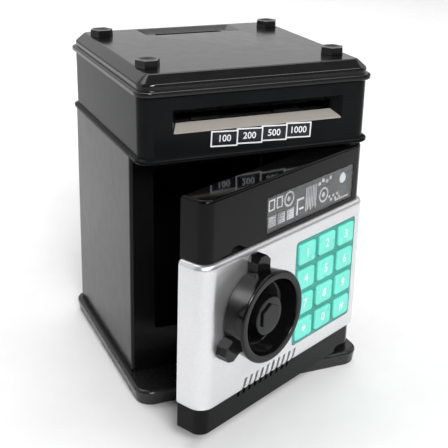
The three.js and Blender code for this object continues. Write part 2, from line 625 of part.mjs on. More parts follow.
function keypadPlate() {
  const shape = roundedRect(KEYPAD_X, KEYPAD_Z, KEYPAD_WIDTH / 2 - GAP, KEYPAD_HEIGHT / 2 - GAP, 2);
  const holes = keyPlaces.map(([x, z]) => pad(x, z, KEY_WIDTH + 0.6, KEY_HEIGHT + 0.6, PLATE_FRONT - 1, PLATE_BACK + 1));
  return cut(prismY(shape, PLATE_FRONT, PLATE_BACK), ...holes);
}

// A key about its own centre: a soft-edged cap and the stem that presses the board's switch.
function keySolid() {
  const face = (inset, out) => [roundedRect(0, 0, KEY_WIDTH / 2 - inset, KEY_HEIGHT / 2 - inset, 1.6), out];
  const cap = loft([face(0, 0), face(0, KEY_BACK - KEY_FRONT - 0.7), face(0.8, KEY_BACK - KEY_FRONT)], 1);
  return join(cap.rotateX(Math.PI / 2).translate(0, KEY_BACK, 0), pad(0, 0, 6, 5, KEY_BACK - 0.5, KEY_BACK + 1.5));
}

function keypadBoard() {
  return pad(KEYPAD_X, KEYPAD_Z, 48, 53, KEY_BACK + 2.7, KEY_BACK + 4.3);
}

// A small loudspeaker: a shallow basket with its magnet behind.
function speaker() {
  const front = -(DOOR_INSIDE + GAP);
  const profile = [
    [0, front - 8.5], [6.5, front - 8.5], [6.5, front - 5], [11, front - 3.5], [13, front - 2], [13, front], [11.5, front],
    [4, front - 2.5], [0, front - 2],
  ];
  return turnedY(profile, GRILLE_X + GRILLE_PITCH * (GRILLE_SLOTS - 1) / 2 + 2, 26.9, 24);
}

function doorBackCover() {
  const y0 = DOOR_BACK - 2.4;
  const plate = box(ROOM_LEFT + GAP, 47.5 - GAP, y0, DOOR_BACK, DOOR_BOTTOM + WALL + GAP, DOOR_TOP - WALL - GAP);
  const spindle = rodY(SPINDLE + 0.5, y0 - CUT, DOOR_BACK + CUT, KNOB_X, KNOB_Z);
  const holes = screwPlaces.map(([x, z]) => rodY(SCREW_SHANK + 0.3, y0 - CUT, DOOR_BACK + CUT, x, z, 12));
  const seats = screwPlaces.map(([x, z]) => rodY(SCREW_HEAD + GAP, y0 + 0.7, DOOR_BACK + CUT, x, z, 16));
  return cut(plate, spindle, ...holes, ...seats);
}

function doorScrew() {
  const head = rodY(SCREW_HEAD, DOOR_BACK - 1.4, DOOR_BACK - 0.2, 0, 0, 16);
  return join(head, rodY(SCREW_SHANK, DOOR_BACK - 9.5, DOOR_BACK - 1, 0, 0, 12));
}

// ---- knob and lock, drawn about the door's face ----
const KNOB_BASE = -FASCIA_FRONT + GAP;      // distances out towards the front
const KNOB_RIM = -DOOR_FRONT + 16.1;
const HUB_FACE = 2.6 - KNOB_RIM;            // y of the hub's end, inside the dish
const LUGS = 3;
const LUG_REACH = 31.2;
const LUG_WIDTH = 10;
const LUG_OUT = -DOOR_FRONT + 9;

function knobWheel() {
  const floor = -DOOR_FRONT + 5.5;
  const profile = [
    [0, KNOB_BASE], [22.4, KNOB_BASE], [23, KNOB_BASE + 1.2], [24.3, KNOB_RIM - 1.2], [23.5, KNOB_RIM - 0.2],
    [22.4, KNOB_RIM], [20.6, KNOB_RIM], [19.8, KNOB_RIM - 0.6], [18, floor + 1], [17, floor], [13, floor],
    [11.6, floor + 0.6], [10.4, -HUB_FACE - 0.8], [9.6, -HUB_FACE], [0, -HUB_FACE],
  ];
  const dish = turnedY(profile, KNOB_X, KNOB_Z, 36);
  const lugs = Array.from({ length: LUGS }, (_, i) => {
    const half = LUG_WIDTH / 2;
    const middle = LUG_REACH - half;
    const shape = new THREE.Shape();
    shape.moveTo(20, -half);
    shape.lineTo(middle, -half);
    shape.absarc(middle, 0, half, -Math.PI / 2, Math.PI / 2);
    shape.lineTo(20, half);
    const lug = prismZ(shape, 0, LUG_OUT - KNOB_BASE, 3).rotateZ(Math.PI / 2 + i * Math.PI * 2 / LUGS);
    return lug.rotateX(Math.PI / 2).translate(KNOB_X, -KNOB_BASE, KNOB_Z);
  });
  const bore = rodY(SPINDLE + GAP, -KNOB_RIM + 5, -KNOB_BASE + CUT, KNOB_X, KNOB_Z);
  return cut(join(dish, ...lugs), bore);
}

function knobCap() {
  const THICK = 1.1;
  const back = HUB_FACE - 0.15;
  return new THREE.CylinderGeometry(7.8, 7.2, THICK, 6).translate(KNOB_X, back - THICK / 2, KNOB_Z);
}

const DISC_Y0 = DOOR_FRONT + 5.5;
const DISC_Y1 = DISC_Y0 + 3;
const PLUNGER_Y = (DISC_Y0 + DISC_Y1) / 2;
const DISC_RADIUS = 10;
const TIP = 3;                  // the spindle's thinner end, inside the vault

// The knob's shaft, with a disc that the solenoid's plunger can lock at either end of the turn.
function knobSpindle() {
  const front = -KNOB_RIM + 5.4;
  const shaft = join(
    rodY(SPINDLE, front, DOOR_BACK + 0.4, KNOB_X, KNOB_Z),
    rodY(DISC_RADIUS, DISC_Y0, DISC_Y1, KNOB_X, KNOB_Z, 24),
    rodY(TIP, DOOR_BACK, TONGUE_Y1 + 2.9, KNOB_X, KNOB_Z, 16),
  );
  const beside = box(KNOB_X + 5.5, KNOB_X + DISC_RADIUS + 1, DISC_Y0 - 1, DISC_Y1 + 1, KNOB_Z - 2.6, KNOB_Z + 2.6);
  const below = box(KNOB_X - 2.6, KNOB_X + 2.6, DISC_Y0 - 1, DISC_Y1 + 1, KNOB_Z - DISC_RADIUS - 1, KNOB_Z - 5.5);
  return cut(shaft, beside, below);
}

function lockTongue() {
  const arm = prismY(roundedRect(KNOB_X, KNOB_Z + 8.5, 4.8, 13.5, 4.6), TONGUE_Y0, TONGUE_Y1);
  return cut(arm, rodY(TIP + GAP, TONGUE_Y0 - CUT, TONGUE_Y1 + CUT, KNOB_X, KNOB_Z, 16));
}

function tongueNut() {
  const nut = rodY(5, TONGUE_Y1 + GAP, TONGUE_Y1 + 2.5, KNOB_X, KNOB_Z, 6);
  return cut(nut, rodY(TIP + GAP, TONGUE_Y1 - CUT, TONGUE_Y1 + CUT, KNOB_X, KNOB_Z, 16));
}

const PLUNGER = 2;
const PLUNGER_TIP = KNOB_X + DISC_RADIUS + 0.7;
const COIL_X = PLUNGER_TIP + 4.2;

function solenoidCoil() {
  const coil = box(COIL_X, COIL_X + 16.5, PLUNGER_Y - 3.3, PLUNGER_Y + 4.2, KNOB_Z - 6, KNOB_Z + 6);
  return cut(coil, rodX(PLUNGER + 0.4, COIL_X - CUT, COIL_X + 14.5, PLUNGER_Y, KNOB_Z));
}

function solenoidPlunger() {
  return rodX(PLUNGER, PLUNGER_TIP, COIL_X + 14, PLUNGER_Y, KNOB_Z);
}

// ---- the assembly ----
const finishes = {
  black: [0x141414, 0.18, 0],
  foot: [0x2c2c2d, 0.5, 0],
  silver: [0xc4c4c6, 0.35, 0.6],
  ramp: [0xa39e96, 0.5, 0],
  label: [0x101012, 0.4, 0],
  clear: [0xaab0b2, 0.08, 0],
  relief: [0x8c8c90, 0.35, 0.2],
  lamp: [0xe8e8e4, 0.25, 0],
  keypad: [0x3cb7a4, 0.45, 0],
  key: [0x84e4d2, 0.35, 0],
  board: [0x1f6b3c, 0.6, 0],
  steel: [0xb5b7ba, 0.3, 1],
  rubber: [0x222222, 0.9, 0],
  nylon: [0xe6e2d6, 0.5, 0],
  inner: [0x3a3a3c, 0.6, 0],
  cell: [0x2f4f7a, 0.35, 0.3],
  brass: [0xc09a4a, 0.3, 1],
  copper: [0xa8602c, 0.4, 1],
};

const materials = Object.fromEntries(Object.entries(finishes).map(([name, [color, roughness, metalness]]) => (
  [name, new THREE.MeshStandardMaterial({ name, color, roughness, metalness })]
)));

function add(group, name, geometry, finish, place = [0, 0, 0]) {
  const mesh = new THREE.Mesh(geometry, materials[finish]);
  mesh.name = name;
  mesh.position.set(...place);
  group.add(mesh);
}

const bank = new THREE.Group();

add(bank, 'base_plinth', basePlinth(), 'black');
add(bank, 'body_shell', bodyShell(), 'black');
add(bank, 'head_shell', headShell(), 'black');
add(bank, 'note_ramp', noteRamp(), 'ramp');
add(bank, 'top_cover', topCover(), 'black');
const capGeometry = hexCap();
hexPlaces.forEach(([x, y], i) => add(bank, `hex_cap_${i + 1}`, capGeometry, 'black', [x, y, LID_TOP]));
add(bank, 'note_label', noteLabel(), 'label');
add(bank, 'coin_chute', coinChute(), 'inner');
add(bank, 'feed_bracket_left', feedBracket(-1), 'inner');
add(bank, 'feed_bracket_right', feedBracket(1), 'inner');
add(bank, 'feed_motor', feedMotor(), 'steel');
add(bank, 'motor_pinion', motorPinion(), 'nylon');
add(bank, 'feed_roller', roller(ROLLER, GEAR_X1 + 1.5, FEED_Z), 'rubber');
add(bank, 'feed_gear', feedGear(), 'nylon');
add(bank, 'idler_roller', roller(ROLLER - 0.1, BRACKET_X + 2.8, IDLER_Z), 'rubber');
add(bank, 'battery_tray', batteryTray(), 'inner');
[-1, 0, 1].forEach((i) => add(bank, `battery_cell_${i + 2}`, batteryCell(BAY_Y + i * CELL_PITCH), 'cell'));
add(bank, 'battery_springs', batterySprings(), 'steel');
add(bank, 'battery_cover', batteryCover(), 'black');
add(bank, 'battery_cover_screw', batteryCoverScrew(), 'steel');
add(bank, 'hinge_pin_top', hingePinTop(), 'steel');
add(bank, 'hinge_pin_bottom', hingePinBottom(), 'steel');
add(bank, 'strike_plate', strikePlate(), 'steel');

const hinge = new THREE.Group();
hinge.position.set(PIN_X, PIN_Y, 0);
hinge.rotation.z = THREE.MathUtils.degToRad(DOOR_OPEN);
const door = new THREE.Group();
door.position.set(-PIN_X, -PIN_Y, 0);
hinge.add(door);
bank.add(hinge);

add(door, 'door_shell', doorShell(), 'black');
add(door, 'silver_fascia', silverFascia(), 'silver');
add(door, 'window_lens', windowLens(), 'clear');
add(door, 'window_relief', windowRelief(), 'relief');
add(door, 'status_lamp', statusLamp(), 'lamp');
add(door, 'keypad_plate', keypadPlate(), 'keypad');
add(door, 'keypad_board', keypadBoard(), 'board');
add(door, 'speaker', speaker(), 'inner');
add(door, 'door_back_cover', doorBackCover(), 'inner');
const screwGeometry = doorScrew();
screwPlaces.forEach(([x, z], i) => add(door, `door_screw_${i + 1}`, screwGeometry, 'steel', [x, 0, z]));
const keyGeometry = keySolid();
keyPlaces.forEach(([x, z], i) => add(door, `key_${i + 1}`, keyGeometry, 'key', [x, 0, z]));
add(door, 'knob_wheel', knobWheel(), 'black');
add(door, 'knob_cap', knobCap(), 'black');
add(door, 'knob_spindle', knobSpindle(), 'nylon');
add(door, 'lock_tongue', lockTongue(), 'steel');
add(door, 'tongue_nut', tongueNut(), 'brass');
add(door, 'solenoid_coil', solenoidCoil(), 'copper');
add(door, 'solenoid_plunger', solenoidPlunger(), 'steel');

export default bank;
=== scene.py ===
"""Toy cash machine that is a savings bank: its looks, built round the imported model.

Shapes are drawn in millimetres in the frame's own axes, and piece() turns them into metres.
Everything on the door is drawn with the door closed, then turned about the hinge pins to its place at rest.
"""
import json
import math

import bmesh
import bpy
from mathutils import Matrix, Vector


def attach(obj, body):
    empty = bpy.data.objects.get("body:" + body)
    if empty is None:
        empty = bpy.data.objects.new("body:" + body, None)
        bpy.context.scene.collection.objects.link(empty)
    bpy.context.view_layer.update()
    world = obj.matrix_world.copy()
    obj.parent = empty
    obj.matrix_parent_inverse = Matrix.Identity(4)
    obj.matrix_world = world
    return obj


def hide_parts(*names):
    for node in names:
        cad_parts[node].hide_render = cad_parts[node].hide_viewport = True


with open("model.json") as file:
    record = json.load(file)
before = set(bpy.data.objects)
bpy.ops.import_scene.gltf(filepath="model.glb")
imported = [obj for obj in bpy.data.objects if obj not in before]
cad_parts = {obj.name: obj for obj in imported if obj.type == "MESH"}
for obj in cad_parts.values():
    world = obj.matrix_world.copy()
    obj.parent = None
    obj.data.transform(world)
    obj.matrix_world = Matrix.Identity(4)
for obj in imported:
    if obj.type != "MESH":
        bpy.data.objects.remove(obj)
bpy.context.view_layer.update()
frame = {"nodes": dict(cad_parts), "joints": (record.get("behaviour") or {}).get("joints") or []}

MM = 0.001
PAST = 5.0  # how far a cutting shape runs past a face
GAP = 0.3  # between neighbouring pieces
SMOOTH_UNDER = math.radians(35)
FULL_TURN = 2 * math.pi


# ---- places taken from the frame ----
def span(points):
    """Lowest and highest corner of some points."""
    return tuple(Vector(pick(p[axis] for p in points) for axis in range(3)) for pick in (min, max))


def node_points(node):
    return [v.co / MM for v in frame["nodes"][node].data.vertices]


def node_box(node):
    """A CAD node's box at rest, in millimetres."""
    return span(node_points(node))


hinge = next(j for j in frame["joints"] if j["name"] == "door_hinge")
PIN = Vector(hinge["pos_m"]) / MM
DOOR_ANGLE = math.radians(-hinge["range_deg"][0])
TO_REST = Matrix.Translation(PIN) @ Matrix.Rotation(DOOR_ANGLE, 4, "Z") @ Matrix.Translation(-PIN)
TO_CLOSED = TO_REST.inverted()


def door_box(node):
    """A door node's box with the door closed, in millimetres."""
    return span([TO_CLOSED @ p for p in node_points(node)])


# ---- shapes ----
def arc(x, y, radius, start, end, steps=8):
    """Points along an arc, with its angles in degrees."""
    angles = [math.radians(start + (end - start) * k / steps) for k in range(steps + 1)]
    return [(x + radius * math.cos(a), y + radius * math.sin(a)) for a in angles]


def rounded_rect(x0, x1, y0, y1, radius, steps=8):
    """A rectangle's outline with round corners: one radius, or one each for the +y and -y corners."""
    back, front = radius if isinstance(radius, tuple) else (radius, radius)
    return [
        *arc(x1 - back, y1 - back, back, 0, 90, steps),
        *arc(x0 + back, y1 - back, back, 90, 180, steps),
        *arc(x0 + front, y0 + front, front, 180, 270, steps),
        *arc(x1 - front, y0 + front, front, 270, 360, steps),
    ]


def loft(levels):
    """A solid through outlines that have as many points each: [(outline, height), ...]."""
    shape = bmesh.new()
    rows = [[shape.verts.new((x, y, z)) for x, y in outline] for outline, z in levels]
    count = len(rows[0])
    for low, high in zip(rows, rows[1:]):
        for i in range(count):
            j = (i + 1) % count
            shape.faces.new((low[i], low[j], high[j], high[i]))
    shape.faces.new(rows[0][::-1])
    shape.faces.new(rows[-1])
    bmesh.ops.recalc_face_normals(shape, faces=shape.faces)
    return shape


def prism(outline, z0, z1):
    return loft([(outline, z0), (outline, z1)])


def box(x0, x1, y0, y1, z0, z1):
    return prism([(x0, y0), (x1, y0), (x1, y1), (x0, y1)], z0, z1)


def lathe(profile, sides=72):
    """A solid turned about Z from [(radius, z), ...], which starts and ends on the axis."""
    shape = bmesh.new()
    turns = [FULL_TURN * i / sides for i in range(sides)]
    rows = []
    for radius, z in profile:
        around = turns if radius > 0 else turns[:1]
        rows.append([shape.verts.new((radius * math.cos(a), radius * math.sin(a), z)) for a in around])
    for low, high in zip(rows, rows[1:]):
        for i in range(sides):
            j = (i + 1) % sides
            corners = [low[i % len(low)], low[j % len(low)], high[j % len(high)], high[i % len(high)]]
            shape.faces.new(list(dict.fromkeys(corners)))
    bmesh.ops.recalc_face_normals(shape, faces=shape.faces)
    return shape


def rod(radius, z0, z1, x=0.0, y=0.0, sides=32):
    return prism(arc(x, y, radius, 0, 360 * (sides - 1) / sides, sides - 1), z0, z1)


def hexagon(radius):
    return arc(0, 0, radius, 0, 300, 5)


def moved(shape, x=0.0, y=0.0, z=0.0):
    shape.transform(Matrix.Translation((x, y, z)))
    return shape


def turned(shape, degrees, axis):
    shape.transform(Matrix.Rotation(math.radians(degrees), 4, axis))
    return shape


def facing_front(shape, y=0.0):
    """Stands a shape up: x stays, y becomes z, and its height comes out of the plane y towards the front."""
    return moved(turned(shape, 90, "X"), y=y)


def temporary(shape):
    mesh = bpy.data.meshes.new("temporary")
    shape.to_mesh(mesh)
    shape.free()
    obj = bpy.data.objects.new("temporary", mesh)
    bpy.context.scene.collection.objects.link(obj)
    return obj


def evaluated(obj):
    """The shape of an object with its modifiers, after which the object is gone."""
    bpy.context.view_layer.update()
    seen = obj.evaluated_get(bpy.context.evaluated_depsgraph_get())
    shape = bmesh.new()
    shape.from_mesh(seen.to_mesh())
    seen.to_mesh_clear()
    bpy.data.objects.remove(obj)
    return shape


def combine(blank, others, operation):
    base = temporary(blank)
    tools = [temporary(other) for other in others]
    for tool in tools:
        step = base.modifiers.new("step", "BOOLEAN")
        step.operation = operation
        step.solver = "MANIFOLD"
        step.object = tool
    shape = evaluated(base)
    for tool in tools:
        bpy.data.objects.remove(tool)
    return shape


def cut(blank, *tools):
    return combine(blank, tools, "DIFFERENCE")


def join(blank, *others):
    return combine(blank, others, "UNION")


def lettering(text, size, height):
    """Raised figures, centred on the origin and lying in the plane z = 0."""
    curve = bpy.data.curves.new("figures", "FONT")
    curve.body = text
    curve.size = size
    curve.align_x, curve.align_y = "CENTER", "CENTER"
    curve.extrude = height / 2
    curve.offset = size * 0.015
    curve.resolution_u = 3
    obj = bpy.data.objects.new("figures", curve)
    bpy.context.scene.collection.objects.link(obj)
    shape = evaluated(obj)
    bmesh.ops.remove_doubles(shape, verts=shape.verts, dist=size * 1e-4)
    return moved(shape, z=height / 2)


# ---- finishes ----
NOISE_LOW, NOISE_HIGH = 0.3, 0.7  # nearly all of a noise texture lies between these


class Finish:
    """A procedural material on one Principled shader, with its textures laid out in the piece's own space."""

    def __init__(self, name, **constants):
        self.material = bpy.data.materials.new(name)
        self.material.use_nodes = True
        self.tree = self.material.node_tree
        self.shader = self.tree.nodes["Principled BSDF"]
        for socket, value in constants.items():
            self.shader.inputs[socket.replace("_", " ")].default_value = value
        self.place = self.tree.nodes.new("ShaderNodeTexCoord").outputs["Object"]

    def noise(self, size, detail=3.0, stretch=(1, 1, 1)):
        """Noise whose patches are about size millimetres across."""
        mapping = self.tree.nodes.new("ShaderNodeMapping")
        mapping.inputs["Scale"].default_value = stretch
        self.tree.links.new(self.place, mapping.inputs["Vector"])
        node = self.tree.nodes.new("ShaderNodeTexNoise")
        node.inputs["Scale"].default_value = 1 / (size * MM)
        node.inputs["Detail"].default_value = detail
        self.tree.links.new(mapping.outputs["Vector"], node.inputs["Vector"])
        return node.outputs["Fac"]

    def between(self, source, low, high):
        node = self.tree.nodes.new("ShaderNodeMapRange")
        node.inputs["From Min"].default_value = NOISE_LOW
        node.inputs["From Max"].default_value = NOISE_HIGH
        node.inputs["To Min"].default_value = low
        node.inputs["To Max"].default_value = high
        self.tree.links.new(source, node.inputs["Value"])
        return node.outputs["Result"]

    def colour(self, source, first, second):
        ramp = self.tree.nodes.new("ShaderNodeValToRGB")
        for element, place, value in zip(ramp.color_ramp.elements, (NOISE_LOW, NOISE_HIGH), (first, second)):
            element.position = place
            element.color = (*value, 1)
        self.tree.links.new(source, ramp.inputs["Fac"])
        self.tree.links.new(ramp.outputs["Color"], self.shader.inputs["Base Color"])
        return self

    def rough(self, source, low, high):
        self.tree.links.new(self.between(source, low, high), self.shader.inputs["Roughness"])
        return self

    def bump(self, source, depth):
        """Relief of that depth in millimetres."""
        node = self.tree.nodes.new("ShaderNodeBump")
        node.inputs["Distance"].default_value = depth * MM
        node.inputs["Strength"].default_value = 1.0
        self.tree.links.new(source, node.inputs["Height"])
        self.tree.links.new(node.outputs["Normal"], self.shader.inputs["Normal"])
        return self


def shade(colour, factor):
    return tuple(min(1.0, c * factor) for c in colour)


def plastic(name, colour, rough, spread=0.12, grain=0.0, grain_size=0.5, **constants):
    """Moulded plastic: slight blotches in colour, uneven gloss, and a fine grain if it has one."""
    finish = Finish(name, **constants)
    finish.colour(finish.noise(18), shade(colour, 1 - spread), shade(colour, 1 + spread))
    finish.rough(finish.noise(7, detail=5), rough * 0.85, rough * 1.2)
    if grain:
        finish.bump(finish.noise(grain_size, detail=1), grain)
    return finish.material


def metal(name, colour, rough, grain=0.01):
    """Plain metal with faint drawing marks along X."""
    finish = Finish(name, Metallic=1.0)
    finish.colour(finish.noise(5), shade(colour, 0.86), shade(colour, 1.08))
    streaks = finish.noise(0.5, detail=2, stretch=(0.1, 1, 1))
    finish.rough(streaks, rough * 0.8, rough * 1.3)
    return finish.bump(streaks, grain).material


def silver_paint():
    """Satin silver lacquer: flakes a few tenths of a millimetre across under a thin clear coat."""
    finish = Finish("silver_lacquer", Metallic=0.9, Coat_Weight=0.25, Coat_Roughness=0.18)
    finish.colour(finish.noise(0.35, detail=2), (0.72, 0.72, 0.735), (0.86, 0.86, 0.87))
    finish.rough(finish.noise(9, detail=4), 0.34, 0.42)
    return finish.bump(finish.noise(0.25, detail=1), 0.006).material


gloss_black = plastic(
    "gloss_black_abs", (0.0025, 0.0026, 0.0027), 0.075, grain=0.004, grain_size=14, Specular_IOR_Level=0.15
)
head_black = plastic(
    "head_black_abs", (0.0075, 0.008, 0.0085), 0.16, grain=0.004, grain_size=14, Specular_IOR_Level=0.05
)
lid_black = plastic("lid_black_abs", (0.008, 0.008, 0.0085), 0.17, grain=0.004, grain_size=9)
side_black = plastic(
    "satin_black_abs", (0.0035, 0.0035, 0.0038), 0.2, grain=0.002, grain_size=6, Specular_IOR_Level=0.2
)
foot_black = plastic("foot_black_abs", (0.012, 0.012, 0.0125), 0.26, grain=0.003, grain_size=0.4)
knob_black = plastic(
    "knob_black_abs", (0.0035, 0.0035, 0.0037), 0.12, grain=0.003, grain_size=6, Specular_IOR_Level=0.3
)
inner_black = plastic("inner_black_abs", (0.016, 0.016, 0.016), 0.5, grain=0.01, grain_size=0.5)
ramp_grey = plastic("warm_grey_abs", (0.36, 0.335, 0.30), 0.45, spread=0.05, grain=0.006)
print_black = plastic("print_black", (0.004, 0.004, 0.007), 0.25, spread=0.2)
print_white = plastic("print_white", (0.82, 0.83, 0.86), 0.45, spread=0.03)
silver = silver_paint()
keypad_teal = plastic("keypad_teal", (0.032, 0.30, 0.255), 0.42, spread=0.08, grain=0.004)
key_mint = plastic("key_mint", (0.17, 0.78, 0.64), 0.3, spread=0.04, grain=0.003, Subsurface_Weight=0.08)
clear = plastic(
    "clear_lens", (0.93, 0.95, 0.96), 0.03, spread=0.02, Transmission_Weight=1.0, IOR=1.45
)
# The plate behind the relief's details is the same moulded silver, darkened to stand for the shade in the
# recess: painted shade
relief_painted_shade = plastic("shaded_silver", (0.055, 0.055, 0.057), 0.24, spread=0.4, Metallic=0.7)
relief_silver = plastic("moulded_silver", (0.72, 0.72, 0.73), 0.2, spread=0.3, Metallic=0.9)
lamp_milk = plastic(
    "lamp_milk", (0.88, 0.88, 0.86), 0.16, spread=0.03, Subsurface_Weight=0.2, Emission_Strength=0.3
)
steel = metal("plated_steel", (0.62, 0.62, 0.63), 0.3)
brass = metal("brass", (0.70, 0.50, 0.21), 0.3)
copper = metal("copper_winding", (0.62, 0.27, 0.12), 0.36)
rubber = plastic("black_rubber", (0.020, 0.020, 0.021), 0.75, grain=0.02, grain_size=0.6)
nylon = plastic("natural_nylon", (0.74, 0.71, 0.63), 0.42, spread=0.04, grain=0.004)
board_green = plastic("board_green", (0.018, 0.14, 0.055), 0.35, spread=0.2)
cell_blue = plastic("cell_jacket", (0.03, 0.09, 0.22), 0.28, spread=0.15, Metallic=0.3)


# ---- pieces ----
def piece(name, shape, finish, body, replaces=(), bevel=0.0, segments=3, on_door=False):
    """Makes a shown piece from a shape drawn in millimetres. bevel is the radius of its edges."""
    if on_door:
        shape.transform(TO_REST)
    shape.transform(Matrix.Scale(MM, 4))
    mesh = bpy.data.meshes.new(name)
    shape.to_mesh(mesh)
    shape.free()
    mesh.materials.append(finish)
    mesh.polygons.foreach_set("use_smooth", [True] * len(mesh.polygons))
    obj = bpy.data.objects.new(name, mesh)
    bpy.context.scene.collection.objects.link(obj)
    soften(obj, bevel, segments)
    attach(obj, body)
    if replaces:
        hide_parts(*replaces)
    return obj


def soften(obj, bevel, segments=3):
    """Rounds an object's edges, and keeps its flat faces flat in the shading."""
    if bevel:
        edges = obj.modifiers.new("edges", "BEVEL")
        edges.width = bevel * MM
        edges.segments = segments
        edges.limit_method = "ANGLE"
        edges.angle_limit = SMOOTH_UNDER
    else:
        obj.data.set_sharp_from_angle(angle=SMOOTH_UNDER)
    normals = obj.modifiers.new("normals", "WEIGHTED_NORMAL")
    normals.keep_sharp = True


def dress(node, finish, bevel=0.15):
    """Gives a CAD node that stays its finish and softer edges."""
    obj = frame["nodes"][node]
    obj.data.materials.clear()
    obj.data.materials.append(finish)
    for polygon in obj.data.polygons:
        polygon.material_index = 0
    edges = obj.modifiers.new("edges", "BEVEL")
    edges.width = bevel * MM
    edges.segments = 2
    edges.limit_method = "ANGLE"
    edges.angle_limit = SMOOTH_UNDER


# ---- case ----
HEAD_CORNER = 8.0
WALL = 2.5
DEEP = 200.0  # further than the whole toy
plinth_lo, plinth_hi = node_box("base_plinth")
body_lo, body_hi = node_box("body_shell")
head_lo, head_hi = node_box("head_shell")
lid_lo, lid_hi = node_box("top_cover")
BEAD = 1.8
HEAD_X = head_hi.x - BEAD
HEAD_Y = head_hi.y - BEAD
HINGE_HOLE = 2.3


def head_rect(inset, corner=HEAD_CORNER):
    return rounded_rect(-HEAD_X + inset, HEAD_X - inset, -HEAD_Y + inset, HEAD_Y - inset, corner)


def hinge_hole(z0, z1):
    return rod(HINGE_HOLE, z0, z1, PIN.x, PIN.y)


def plinth():
    """A slab whose sides lean in towards the floor, with a round upper lip."""
    lip = 2.0
    corner = HEAD_CORNER + 2.0
    top = plinth_hi.z

    def level(inset, z):
        outline = rounded_rect(
            plinth_lo.x + inset, plinth_hi.x - inset, plinth_lo.y + inset, plinth_hi.y - inset, corner - inset
        )
        return outline, z

    rounding = [level(lip - x, top - lip + y) for x, y in arc(0, 0, lip, 0, 90, 6)]
    slab = loft([level(1.7, 0), level(1.15, 0.5), level(0.3, top - lip - 0.4), *rounding])
    floor, pocket_half, pocket_front, pocket_back = 3.0, 61.5, -41.0, 61.7
    pocket = box(-pocket_half, pocket_half, pocket_front, pocket_back, floor, top + PAST)
    cover_lo, cover_hi = node_box("battery_cover")
    bay = box(cover_lo.x - GAP, cover_hi.x + GAP, cover_lo.y - GAP, cover_hi.y + GAP, -PAST, floor + PAST)
    piece(
        "plinth", cut(slab, pocket, bay, hinge_hole(floor + GAP, top + PAST)), foot_black, "case",
        ["base_plinth"], bevel=0.25,
    )


def body():
    """A sleeve with a floor and a doorway. Its foot is a little wider than its top."""
    flare = body_hi.x - HEAD_X
    back_corner, front_corner = 4.0, 1.8

    def level(inset, z):
        grow = flare * (body_hi.z - z) / (body_hi.z - body_lo.z) - inset
        corners = (back_corner - inset / 2, front_corner)
        return rounded_rect(-HEAD_X - grow, HEAD_X + grow, body_lo.y + inset, HEAD_Y + grow, corners), z

    def part(inset, z0, z1):
        return loft([level(inset, z0), level(inset, z1)])

    floor_top = 22.0
    vault = part(WALL, floor_top, body_hi.z + PAST)
    foot = part(WALL, body_lo.z - PAST, floor_top - WALL)
    door_half, door_foot, door_top, door_corner = 52.0, 35.0, 129.0, 2.5
    outline = rounded_rect(-door_half, door_half, door_foot, door_top, door_corner)
    doorway = facing_front(prism(outline, -PAST, PAST), body_lo.y)
    sleeve = cut(part(0, body_lo.z, body_hi.z), vault, foot, doorway)
    piece("body_sleeve", sleeve, side_black, "case", ["body_shell"], bevel=0.35)


SLOT_LOW, SLOT_HIGH, SLOT_HALF = 157.0, 161.6, 44.6
FUNNEL_LOW, FUNNEL_HIGH, FUNNEL_HALF, FUNNEL_DEPTH = 153.7, 165.4, 48.4, 6.5
RAMP_THICK = 0.8


def note_funnel():
    def level(half, low, high, depth):
        return rounded_rect(-half, half, low - RAMP_THICK - 0.1, high, 0.3, 2), -depth

    slopes = loft([
        level(SLOT_HALF, SLOT_LOW, SLOT_HIGH, FUNNEL_DEPTH),
        level(FUNNEL_HALF, FUNNEL_LOW, FUNNEL_HIGH, 0),
        level(FUNNEL_HALF, FUNNEL_LOW, FUNNEL_HIGH, -PAST),
    ])
    return facing_front(slopes, -HEAD_Y)


def head():
    """A box with a pair of fine ribs round its foot and a funnel round the note slot."""
    low, top = head_lo.z, head_hi.z
    ribs = [
        (0.0, 0.0), (0.95, 0.25), (1.5, 0.7), (1.78, 1.15), (1.72, 1.5), (1.3, 1.75),
        (1.72, 2.0), (1.78, 2.35), (1.4, 2.9), (0.7, 3.35), (0.0, 3.6),
    ]
    outside = loft([*((head_rect(-out), low + up) for out, up in ribs), (head_rect(0), top)])
    room = loft([(head_rect(WALL, HEAD_CORNER - WALL), z) for z in (low + WALL, top + PAST)])
    block_half, block_back = 52.0, -HEAD_Y + FUNNEL_DEPTH + 1.5
    block = box(-block_half, block_half, -HEAD_Y + 1, block_back, FUNNEL_LOW - 2.4, FUNNEL_HIGH + 2)
    slot = box(-SLOT_HALF, SLOT_HALF, -HEAD_Y - PAST, -HEAD_Y + 2 * PAST, SLOT_LOW, SLOT_HIGH)
    drop_half, drop_front, drop_back = 45.0, -16.0, 36.0
    note_drop = box(-drop_half, drop_half, drop_front, drop_back, low - PAST, low + PAST)
    lo, hi = node_box("coin_chute")
    rim = 2.0
    coin_drop = box(lo.x + rim, hi.x - rim, lo.y + rim, hi.y - rim, low - PAST, low + PAST)
    shell = cut(
        join(cut(outside, room), block), note_funnel(), slot, note_drop, coin_drop,
        hinge_hole(low - PAST, low + PAST),
    )
    piece("head", shell, head_black, "case", ["head_shell"], bevel=0.22)


def ramp():
    """The pale ramp on the funnel's lower slope."""
    outline = [
        (-FUNNEL_HALF + 0.6, 0), (FUNNEL_HALF - 0.6, 0),
        (SLOT_HALF - 0.2, FUNNEL_DEPTH - 0.1), (-SLOT_HALF + 0.2, FUNNEL_DEPTH - 0.1),
    ]
    sheet = prism(outline, -RAMP_THICK, -0.02)
    rise = Matrix.Identity(4)
    rise[2][1] = (SLOT_LOW - FUNNEL_LOW) / FUNNEL_DEPTH
    sheet.transform(rise)
    sheet = moved(sheet, y=-HEAD_Y + 0.05, z=FUNNEL_LOW)
    piece("ramp", sheet, ramp_grey, "case", ["note_ramp"], bevel=0.12)


SLOT_X = 1.8  # middle of the coin slot
CAPS = 4


